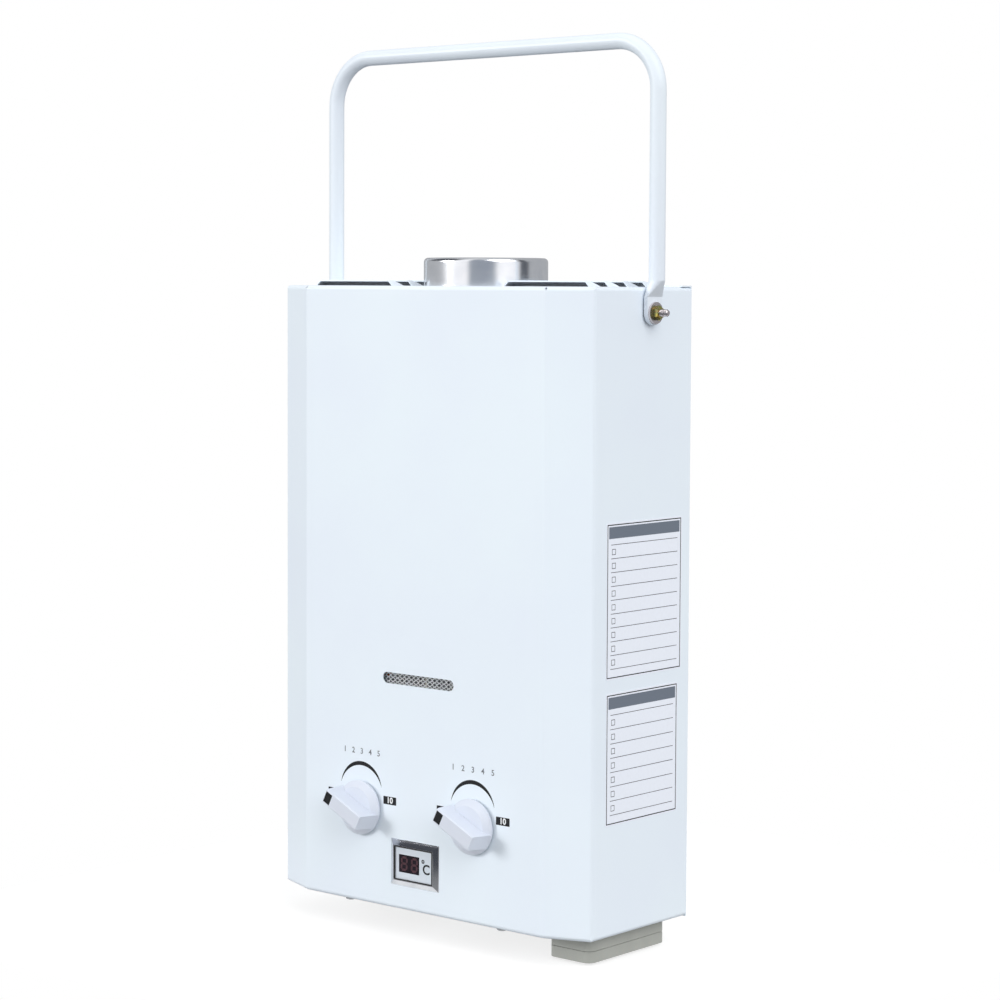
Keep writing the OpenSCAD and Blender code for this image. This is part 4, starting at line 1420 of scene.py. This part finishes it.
@dataclass
class SightMesh:
    """Woven wire strip behind the viewing slot, its wires on the slant.

    Args:
        wire: The thickness of the wires.
        weave: How far they wave to each side, as a share of their thickness.
        cell: Width and height of one diamond.
        strip_h: The height of the strip.
        set_back: How far it lies behind the front of its solid.
        samples: How many points bend each wire.
    """

    wire: float = 0.74
    weave: float = 0.42
    cell: Point2 = (4.4, 3.0)
    strip_h: float = 10.0
    set_back: float = 2.1
    samples: int = 49

    def tree(self) -> Tree:
        """Writes the tree: a bank of waved wires, turned one way and the other.

        Returns:
            The tree.
        """
        made = Tree("woven_wire", [
            ("Count", "NodeSocketInt", 20), ("Pitch", "NodeSocketFloat", 0.002),
            ("Step", "NodeSocketFloat", 0.003), ("Length", "NodeSocketFloat", 0.02),
            ("Wire", "NodeSocketFloat", 0.0005), ("Slant", "NodeSocketFloat", 0.785),
        ])
        graph = made.graph
        pitch = made.size("Pitch")
        half = made.size("Length") * 0.5
        ends = {"Start": graph.vector(Z=half * -1.0), "End": graph.vector(Z=half)}
        line = graph.out("GeometryNodeCurvePrimitiveLine", None, ends)
        fine = graph.out("GeometryNodeResampleCurve", None, {"Curve": line, "Count": self.samples})
        height = graph.axis(graph.out("GeometryNodeInputPosition"), "Z")
        wave = height.math("SINE", height / pitch * math.pi)
        offset = graph.vector(Y=wave * made.size("Wire") * self.weave)
        waved = graph.out("GeometryNodeSetPosition", None, {"Geometry": fine, "Offset": offset})
        tube = made.swept(waved, made.size("Wire") * 0.5, 6)
        count = made.size("Count")
        first = graph.vector(X=(count - 1) * made.size("Step") * -0.5)
        row = made.row(count, first, graph.vector(X=made.size("Step")))
        banks = graph.node("GeometryNodeJoinGeometry")
        for sign in (1.0, -1.0):
            turn = graph.vector(Y=made.size("Slant") * sign)
            inputs = {"Points": row, "Instance": tube, "Rotation": turn, "Scale": (1.0, sign, 1.0)}
            bank = graph.out("GeometryNodeInstanceOnPoints", None, inputs)
            graph.tree.links.new(bank.socket, banks.inputs[0])
        made.finish(Wire(graph, banks.outputs[0]), WIRE)
        return made

    def build(self) -> None:
        """Makes the strip in the place of its plain solid."""
        low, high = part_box("sight_mesh")
        step, rise = self.cell
        slant = math.atan2(step, rise)
        length = self.strip_h / math.cos(slant)
        span = (high.x - low.x) / MM - self.strip_h
        mesh = self.tree().mesh(
            Count=int(span / step) + 1, Pitch=step / (2 * math.sin(slant)) * MM, Step=step * MM,
            Length=length * MM, Wire=self.wire * MM, Slant=slant,
        )
        middle = (low + high) / 2
        mesh.transform(Matrix.Translation((middle.x, low.y + self.set_back * MM, middle.z)))
        fix(add_object("wire_mesh", mesh, WIRE), "casing", "stainless", "sight_mesh")


# ---- turned and threaded pieces ------------------------------------------------------------------


def lathe(profile: Sequence[Point2], sides: int) -> Filler:
    """A closed turned shape round Z.

    Args:
        profile: (radius, height) pairs in millimetres, with the shape on their left going up outside.
        sides: How many faces it has round.

    Returns:
        A function for mesh_from.
    """

    def build(shape: bmesh.types.BMesh) -> None:
        """Adds the turned shape ring by ring.

        Args:
            shape: The bmesh to fill.
        """
        angles = [2 * math.pi * i / sides for i in range(sides)]
        rings = []
        for radius, height in ((r * MM, h * MM) for r, h in profile):
            if radius == 0:
                rings.append([shape.verts.new((0, 0, height))] * sides)
                continue
            rings.append([
                shape.verts.new((radius * math.cos(a), radius * math.sin(a), height)) for a in angles
            ])
        bridge(shape, rings, closed=profile[0][0] > 0)

    return build


@dataclass(frozen=True)
class Thread:
    """A right-handed outside thread: a core with a sharp ridge wound round it.

    Args:
        crest: Its outside radius.
        pitch: The distance between its turns.
        low, high: Where it starts and ends along its axis.
    """

    crest: float
    pitch: float
    low: float
    high: float

    @property
    def core(self) -> float:
        """The radius at which the ridge stands on the core."""
        return self.crest - self.pitch / 2

    @staticmethod
    @cache
    def tree() -> Tree:
        """Writes the tree that sweeps a small diamond along a spiral.

        Returns:
            The tree.
        """
        made = Tree("thread_ridge", [
            ("Turns", "NodeSocketFloat", 5.0), ("Radius", "NodeSocketFloat", 0.003),
            ("Pitch", "NodeSocketFloat", 0.001),
        ])
        graph = made.graph
        turns, radius, pitch = made.size("Turns"), made.size("Radius"), made.size("Pitch")
        spiral = graph.out("GeometryNodeCurveSpiral", None, {
            "Resolution": 24, "Rotations": turns, "Start Radius": radius, "End Radius": radius,
            "Height": turns * pitch,
        })
        upright = graph.out("GeometryNodeSetCurveNormal", {"mode": "Z_UP"}, {"Curve": spiral})
        made.finish(made.swept(upright, pitch * 0.5, 4), BRASS)
        return made

    def ridge(self) -> bpy.types.Mesh:
        """The wound ridge round Z.

        Returns:
            Its mesh.
        """
        length = self.high - self.low - self.pitch
        mesh = self.tree().mesh(Turns=length / self.pitch, Radius=self.core * MM, Pitch=self.pitch * MM)
        mesh.transform(Matrix.Translation((0, 0, (self.low + self.pitch / 2) * MM)))
        return mesh


@dataclass
class PipeFitting:
    """A pipe fitting under the casing, with a real pipe thread on its stub.

    Args:
        node: The solid that it stands for.
        thread: The thread on its stub.
        end: Height of the stub's open end.
        undercut: How far the stub narrows above the thread.
        seat: Height of the nut's lower side.
        flange: Radius over the corners and thickness of the nut.
        neck: Radius of the pipe above the nut.
        bores: Radii of the bore below and above its step.
        step: Height of that step.
    """

    node: str
    thread: Thread = Thread(10.48, 1.814, -19.4, -2.4)
    end: float = -20.0
    undercut: float = 0.3
    seat: float = 2.0
    flange: Point2 = (15.6, 8.0)
    neck: float = 8.0
    bores: Point2 = (7.0, 4.5)
    step: float = 10.0

    def build(self) -> None:
        """Makes the fitting in the place of its solid."""
        low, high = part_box(self.node)
        top = (high.z - low.z) / MM + self.end
        bore, narrow = self.bores
        core, seat = self.thread.core, self.seat
        waist = core - self.undercut
        body = mesh_from(lathe([
            (bore, self.end), (core - 0.8, self.end), (core, self.end + 0.9), (core, -2.2), (waist, -2.0),
            (waist, seat), (self.neck + 1, seat), (self.neck, seat + 1), (self.neck, top), (narrow, top),
            (narrow, self.step), (bore, self.step),
        ], 40), "body")
        width, thick = self.flange
        nut = mesh_from(lathe([
            (self.neck, seat), (width - 1, seat), (width, seat + 0.6), (width, seat + thick - 0.8),
            (width - 1.4, seat + thick), (self.neck, seat + thick),
        ], 6), "nut")
        mesh = joined(body, nut, self.thread.ridge())
        middle = (low + high) / 2
        mesh.transform(Matrix.Translation((middle.x, middle.y, low.z - self.end * MM)))
        fix(add_object(f"{self.node}_fitting", mesh, BRASS), "casing", "brass", self.node)


@dataclass
class PivotHardware:
    """The two handle bolts, each with a hex head inside, a plain shank and a threaded end, and their nuts.

    Args:
        radius, pitch: The bolts' radius and the pitch of their thread.
        wall: How far the heads lie in from the outside of the side walls.
        head, nut: Radius over the corners and thickness of a head and a nut.
        chamfer: The bevel at a bolt's end.
    """

    radius: float = 2.5
    pitch: float = 0.9
    wall: float = 1.0
    head: Point2 = (5.7, 4.0)
    chamfer: float = 0.35
    nut: Point2 = (5.1, 3.6)

    def pair(self, part: Callable[[], bpy.types.Mesh]) -> bpy.types.Mesh:
        """Sets a shape that is made along Z on both pivots, pointing outwards.

        Args:
            part: Makes one shape, its heights counted from the middle plane of the casing.

        Returns:
            The mesh of both.
        """
        low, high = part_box("handle_bolts")
        both = []
        for turn in (math.pi / 2, -math.pi / 2):
            mesh = part()
            mesh.transform(Matrix.Rotation(turn, 4, "Y"))
            both.append(mesh)
        mesh = joined(*both)
        mesh.transform(Matrix.Translation((0, (low.y + high.y) / 2, (low.z + high.z) / 2)))
        return mesh

    def bolt(self) -> bpy.types.Mesh:
        """One bolt along Z.

        Returns:
            Its mesh.
        """
        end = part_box("handle_bolts")[1].x / MM
        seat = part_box("handle_washers")[1].x / MM
        width, thick = self.head
        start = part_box("front_cover")[1].x / MM - self.wall - thick
        thread = Thread(self.radius, self.pitch, seat + self.nut[1] - 0.6, end - self.chamfer + 0.1)
        core = thread.core
        shank = mesh_from(lathe([
            (0, start + thick - 0.5), (self.radius, start + thick - 0.5), (self.radius, seat + 0.4),
            (core, seat + 0.6), (core, end - self.chamfer), (core - self.chamfer, end), (0, end),
        ], 24), "shank")
        cap = mesh_from(lathe([
            (0, start), (width - 0.8, start), (width, start + 0.5), (width, start + thick),
            (0, start + thick),
        ], 6), "cap")
        return joined(shank, cap, thread.ridge())

    def hex_nut(self) -> bpy.types.Mesh:
        """One nut along Z, chamfered at both ends.

        Returns:
            Its mesh.
        """
        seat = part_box("handle_washers")[1].x / MM
        width, thick = self.nut
        hole = self.radius - self.pitch / 2
        return mesh_from(lathe([
            (hole, seat + 0.05), (width - 0.7, seat + 0.05), (width, seat + 0.55),
            (width, seat + thick - 0.6), (width - 0.9, seat + thick),
            (self.radius + 0.1, seat + thick), (hole, seat + thick - 0.5),
        ], 6), "nut")

    def build(self) -> None:
        """Makes the bolts and nuts in the places of their solids."""
        fix(add_object("threaded_bolts", self.pair(self.bolt), WHITE_ZINC), "casing", "steel", "handle_bolts")
        fix(add_object("hex_nuts", self.pair(self.hex_nut), ZINC), "casing", "zinc_hardware", "handle_nuts")


@dataclass
class CoverScrews:
    """Pan-head screws with a cross recess, in the places of their solids.

    Args:
        head: The head's section, as (radius, height) pairs from its rim to its top.
        shank, length: Radius and length of the shank.
        arm, reach: Half the width of the recess's arms, and how far they go out.
        deep, taper: The recess's depth, and the share of its outline that its floor has.
        twist: How far the screws are turned round their own axis, in radians.
        lower_x: How far the lower pair stands from the middle.
    """

    head: tuple[Point2, ...] = ((3.8, 0.0), (3.8, 0.55), (3.6, 0.9), (3.0, 1.25), (2.2, 1.5))
    shank: float = 2.0
    length: float = 7.0
    arm: float = 0.42
    reach: float = 1.7
    deep: float = 1.1
    taper: float = 0.7
    twist: float = 0.4
    lower_x: float = 72.0

    def cross(self) -> list[Point2]:
        """The recess's outline.

        Returns:
            Its corners round the screw's axis.
        """
        a, r = self.arm, self.reach
        quarter = [(a, a), (a, r), (-a, r)]
        return [
            (x * math.cos(t) - y * math.sin(t), x * math.sin(t) + y * math.cos(t))
            for t in (0, math.pi / 2, math.pi, 3 * math.pi / 2)
            for x, y in quarter
        ]

    def screw(self, shape: bmesh.types.BMesh) -> None:
        """Adds one screw, its head standing on Z = 0.

        Args:
            shape: The bmesh to fill.
        """
        top = self.head[-1][1]
        end = -self.length
        lathe([(0, end), (self.shank, end), (self.shank, 0), *self.head, (0, top)], 24)(shape)
        centre = [v for v in shape.verts if v.co.xy.length < 1e-7 and v.co.z > 0]
        bmesh.ops.delete(shape, geom=centre, context="VERTS")
        rim = [e for e in shape.edges if e.is_boundary]
        outline, floor = (
            [shape.verts.new((x * share * MM, y * share * MM, height * MM)) for x, y in self.cross()]
            for share, height in ((1.0, top), (self.taper, top - self.deep))
        )
        inner = []
        for i, corner in enumerate(outline):
            j = (i + 1) % len(outline)
            inner.append(shape.edges.new((corner, outline[j])))
            shape.faces.new((corner, outline[j], floor[j], floor[i]))
        shape.faces.new(floor)
        bmesh.ops.triangle_fill(shape, use_beauty=True, edges=rim + inner)

    def tree(self, pattern: bpy.types.Object) -> Tree:
        """Writes the tree that sets the screw on two rows of points, one of them upside down.

        Args:
            pattern: The object that holds one screw.

        Returns:
            The tree.
        """
        made = Tree("screw_rows", [
            ("Upper", "NodeSocketVector", (0, 0, 0)), ("Lower", "NodeSocketVector", (0, 0, 0)),
        ])
        graph = made.graph
        shape = graph.out("GeometryNodeObjectInfo", None, {"Object": pattern}, "Geometry")
        rows = graph.node("GeometryNodeJoinGeometry")
        for name, flip in (("Upper", 0.0), ("Lower", math.pi)):
            first = made.size(name)
            row = made.row(2, first, graph.vector(X=graph.axis(first, "X") * -2.0))
            inputs = {"Points": row, "Instance": shape, "Rotation": (flip, 0.0, self.twist)}
            placed = graph.out("GeometryNodeInstanceOnPoints", None, inputs)
            graph.tree.links.new(placed.socket, rows.inputs[0])
        made.finish(Wire(graph, rows.outputs[0]), STEEL)
        return made

    def build(self) -> None:
        """Makes all the screws."""
        low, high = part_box("cover_screws")
        top = self.head[-1][1] * MM
        wide = self.head[0][0] * MM
        pattern = bpy.data.objects.new("screw_pattern", mesh_from(self.screw, "screw"))
        upper = (high.x - wide, high.y - wide, high.z - top)
        lower = (self.lower_x * MM, low.y + wide, low.z + top)
        mesh = self.tree(pattern).mesh(Upper=upper, Lower=lower)
        discard(pattern)
        fix(add_object("cross_screws", mesh, STEEL), "casing", "steel", "cover_screws")


# ---- cards on the side ---------------------------------------------------------------------------


@dataclass
class BlankCard:
    """A plain stuck-on card: white, a thin border, one band and empty ruled rows.

    Args:
        name: Its name.
        near, far: Its edges, counted back from the front.
        low, high: Its edges, counted up from the bottom.
        rows: How many empty rows it has.
        sheet, corner: Its thickness and corner radius.
        border, margin: The border's line, and how far it lies inside the edges.
        band_h: The band's height.
        rule, rule_indent: The rules' line, and how far they end inside the margin.
        box, box_indent: The side of a square, and how far it lies inside the margin.
        space: The height left free under the band and under the last rule.
        face: The face that it is stuck to.
    """

    name: str
    near: float
    far: float
    low: float
    high: float
    rows: int
    sheet: float = 0.12
    corner: float = 2.0
    border: float = 0.7
    margin: float = 1.2
    band_h: float = 8.0
    rule: float = 0.4
    rule_indent: float = 4.0
    box: float = 4.0
    box_indent: float = 5.0
    space: float = 6.0
    face: Face = field(default_factory=side_face)

    @property
    def table(self) -> Point2:
        """Heights of the lowest and the highest rule."""
        return self.low + self.margin + self.space, self.high - self.margin - self.band_h - self.space

    def edging(self) -> list[list[Point2]]:
        """The four strips of the border."""
        m = self.margin
        return hollow_box(self.near + m, self.low + m, self.far - m, self.high - m, self.border)

    def rules(self) -> Iterable[list[Point2]]:
        """The thin lines between the rows.

        Returns:
            The corners of each line.
        """
        left = self.near + self.margin + self.rule_indent
        right = self.far - self.margin - self.rule_indent
        bottom, top = self.table
        for i in range(self.rows + 1):
            v = bottom + (top - bottom) * i / self.rows
            yield box_corners(left, v, right, v + self.rule)

    def boxes(self) -> Iterable[list[Point2]]:
        """Small empty squares at the near end of each row, four strips each.

        Returns:
            The corners of each strip.
        """
        bottom, top = self.table
        step = (top - bottom) / self.rows
        u = self.near + self.margin + self.box_indent
        for i in range(self.rows):
            v = bottom + step * i + (step - self.box) / 2
            yield from hollow_box(u, v, u + self.box, v + self.box, self.rule)

    def printed(self, outlines: Iterable[list[Point2]]) -> bpy.types.Mesh:
        """One mesh of several printed patches on the card's face.

        Args:
            outlines: The corners of each patch.

        Returns:
            The mesh.
        """

        def build(shape: bmesh.types.BMesh) -> None:
            """Adds each patch."""
            for outline in outlines:
                self.face.plate(outline, self.sheet + 0.02, -self.sheet + 0.01)(shape)

        return mesh_from(build, "print")

    def build(self) -> None:
        """Makes the card and its print."""
        outline = round_box(self.near, self.low, self.far, self.high, self.corner)
        card = mesh_from(self.face.plate(outline, self.sheet), "card")
        fix(add_object(f"{self.name}_card", card, CARD), "casing", "casing_paint")
        lines = self.printed([*self.edging(), *self.rules(), *self.boxes()])
        fix(add_object(f"{self.name}_lines", lines, INK), "casing", "black_mark")
        edge = self.margin + self.border + 1.0
        top = self.high - edge
        band = self.printed([box_corners(self.near + edge, top - self.band_h, self.far - edge, top)])
        fix(add_object(f"{self.name}_band", band, CARD_BAND), "casing", "grey_plastic")


# ---- studio --------------------------------------------------------------------------------------


@dataclass(frozen=True)
class Sun:
    """An even, broad light.

    Args:
        name: Its name.
        source: The direction that it comes from.
        strength: Its strength on a surface that faces it.
        spread: How wide it looks, in degrees.
    """

    name: str
    source: tuple[float, float, float]
    strength: float
    spread: float

    def build(self) -> None:
        """Adds the light."""
        data = bpy.data.lights.new(self.name, "SUN")
        data.energy = self.strength
        data.angle = math.radians(self.spread)
        holder = bpy.data.objects.new(self.name, data)
        holder.rotation_euler = (-Vector(self.source)).to_track_quat("-Z", "Y").to_euler()
        bpy.context.scene.collection.objects.link(holder)


@dataclass
class Studio:
    """Camera at the photograph's angle, white floor, broad suns and a white surround.

    Args:
        lens, sensor, shift_y, clip: The camera's lens.
        place, yaw, pitch, roll: Where it stands and how it is turned, in metres and radians.
        suns: The lamps.
        floor_size, floor_gap: The floor's side, in metres, and its distance under the part.
        floor_shade: The floor's brightness for the light that it sends back to the part.
        floor_seen, floor_glow: Its brightness and glow for the camera.
        lit_front: Between which places on Y, in metres, the floor turns bright for metal that mirrors it.
        horizon, zenith, underneath: The surround's brightness for matt surfaces.
    """

    lens: float = 96.803
    sensor: float = 36.0
    shift_y: float = -0.05
    clip: Point2 = (0.05, 60.0)
    place: tuple[float, float, float] = (1.25955, -1.51313, 0.04405)
    yaw: float = 0.70561
    pitch: float = -0.06141
    roll: float = 0.00466
    suns: tuple[Sun, ...] = (
        Sun("key", (-0.75, -1.0, 0.35), 1.32, 20.0),
        Sun("fill", (1.0, -0.25, 0.75), 1.6, 50.0),
    )
    floor_size: float = 0.7
    floor_gap: float = 0.5
    floor_shade: float = 0.3
    floor_seen: float = 0.36
    floor_glow: float = 0.74
    horizon: float = 0.9
    zenith: float = 0.42
    underneath: float = 0.35
    lit_front: Point2 = (-0.27, -0.19)

    def camera(self) -> None:
        """Sets up the camera."""
        data = bpy.data.cameras.new("view")
        data.lens = self.lens
        data.sensor_width = self.sensor
        data.shift_y = self.shift_y
        data.clip_start, data.clip_end = self.clip
        holder = bpy.data.objects.new("view", data)
        holder.location = self.place
        turn = Matrix.Rotation(self.yaw, 4, "Z") @ Matrix.Rotation(math.pi / 2 + self.pitch, 4, "X")
        holder.rotation_euler = (turn @ Matrix.Rotation(self.roll, 4, "Z")).to_euler()
        bpy.context.scene.collection.objects.link(holder)
        bpy.context.scene.camera = holder

    def floor(self) -> None:
        """Adds the floor, which is white to the camera and keeps a faint shadow."""
        half = self.floor_size / 2
        level = CAD_BOX[0][2] - self.floor_gap * MM
        corners = box_corners(-half, -half, half, half)

        def sheet(shape: bmesh.types.BMesh) -> None:
            """Adds the sheet."""
            shape.faces.new([shape.verts.new((x, y, level)) for x, y in corners])

        mesh = mesh_from(sheet, "floor")
        material = bpy.data.materials.new("studio_floor")
        material.use_nodes = True
        graph = Graph(material.node_tree)
        shader = material.node_tree.nodes["Principled BSDF"]
        at = graph.place()
        tooth = graph.noise(at, 3.0)
        path = graph.node("ShaderNodeLightPath")
        camera = Wire(graph, path.outputs["Is Camera Ray"])
        mirrored = Wire(graph, path.outputs["Is Glossy Ray"]) * graph.axis(at, "Y").above(*self.lit_front)
        seen = camera.math("MAXIMUM", camera, mirrored)
        shade = graph.mix(tooth, (self.floor_shade,) * 3, (self.floor_shade * 0.98,) * 3)
        graph.feed_all(
            shader,
            Base_Color=graph.mix(seen, shade, (self.floor_seen,) * 3),
            Roughness=0.85,
            Specular_IOR_Level=0.0,
            Emission_Color=graph.mix(seen, (0.0, 0.0, 0.0), (1.0, 1.0, 1.0)),
            Emission_Strength=self.floor_glow,
        )
        holder = bpy.data.objects.new("floor", mesh)
        holder.data.materials.append(material)
        bpy.context.scene.collection.objects.link(holder)

    def world(self) -> None:
        """Lights the scene evenly, shows white where nothing stands and gives metal panels to mirror."""
        world = bpy.data.worlds.new("surround")
        world.use_nodes = True
        bpy.context.scene.world = world
        graph = Graph(world.node_tree)
        back = world.node_tree.nodes["Background"]
        path = graph.node("ShaderNodeLightPath")
        camera = Wire(graph, path.outputs["Is Camera Ray"])
        glossy = Wire(graph, path.outputs["Is Glossy Ray"])
        through = Wire(graph, path.outputs["Is Transmission Ray"])
        direction = graph.out("ShaderNodeTexCoord", name="Generated")
        x, y, z = (graph.axis(direction, name) for name in "XYZ")
        turn = x.math("ARCTAN2", y, x) / (2 * math.pi) + 0.5
        grey, white, mid, dark = (0.4, 0.41, 0.43), (0.98, 0.98, 1.0), (0.3, 0.33, 0.38), (0.06, 0.065, 0.08)
        ceiling = (0.6, 0.61, 0.63)
        panels = graph.ramp(turn, [
            (0.0, grey), (0.145, grey), (0.16, white), (0.262, white), (0.285, mid), (0.40, mid),
            (0.43, white), (0.535, white), (0.55, dark), (0.59, dark), (0.61, grey), (1.0, grey),
        ])
        corner = turn.above(0.21, 0.18) * z.above(0.2, 0.32)
        unlit = corner.math("MAXIMUM", corner, z.above(-0.1, -0.17))
        room = graph.mix(z.above(0.78, 0.95), graph.mix(unlit, panels, dark), ceiling)
        upper = graph.mix(z.above(0.2, 1.0), (self.horizon,) * 3, (self.zenith,) * 3)
        around = graph.mix(z.above(-0.1, 0.1), (self.underneath,) * 3, upper)
        plain = graph.mix(camera.math("MAXIMUM", camera, through), around, (1.0, 1.0, 1.0))
        graph.feed_all(back, Color=graph.mix(glossy, plain, room), Strength=1.0)

    def build(self) -> None:
        """Makes the camera, lamps, floor and surround."""
        bpy.context.scene.view_settings.view_transform = "Standard"
        self.camera()
        for sun in self.suns:
            sun.build()
        self.floor()
        self.world()
        LOG.info("studio ready")


# ---- whole object --------------------------------------------------------------------------------


def main() -> None:
    """Builds the looks of the heater, part by part, and the studio round it."""
    logging.basicConfig(level=logging.INFO, format="%(name)s %(message)s")
    dress_nodes()
    DialPrint(
        "fire", centre=-56.7, top=102.0, box_right=(-35.0, 74.0), box_left=(-89.4, 73.9),
        row=(-76.8, -35.7, 109.2),
    ).build()
    DialPrint(
        "water", centre=49.2, top=101.3, box_right=(70.6, 73.1), box_left=(16.0, 73.8),
        row=(26.6, 72.2, 108.4),
    ).build()
    Bezel().build()
    Display().build()
    SightMesh().build()
    for node in ("gas_inlet", "cold_inlet", "hot_outlet"):
        PipeFitting(node).build()
    PivotHardware().build()
    CoverScrews().build()
    BlankCard("upper", near=26.0, far=111.0, low=177.0, high=284.0, rows=9).build()
    BlankCard("lower", near=26.5, far=107.5, low=77.0, high=168.0, rows=7).build()
    Studio().build()


if __name__ == "__main__":
    main()
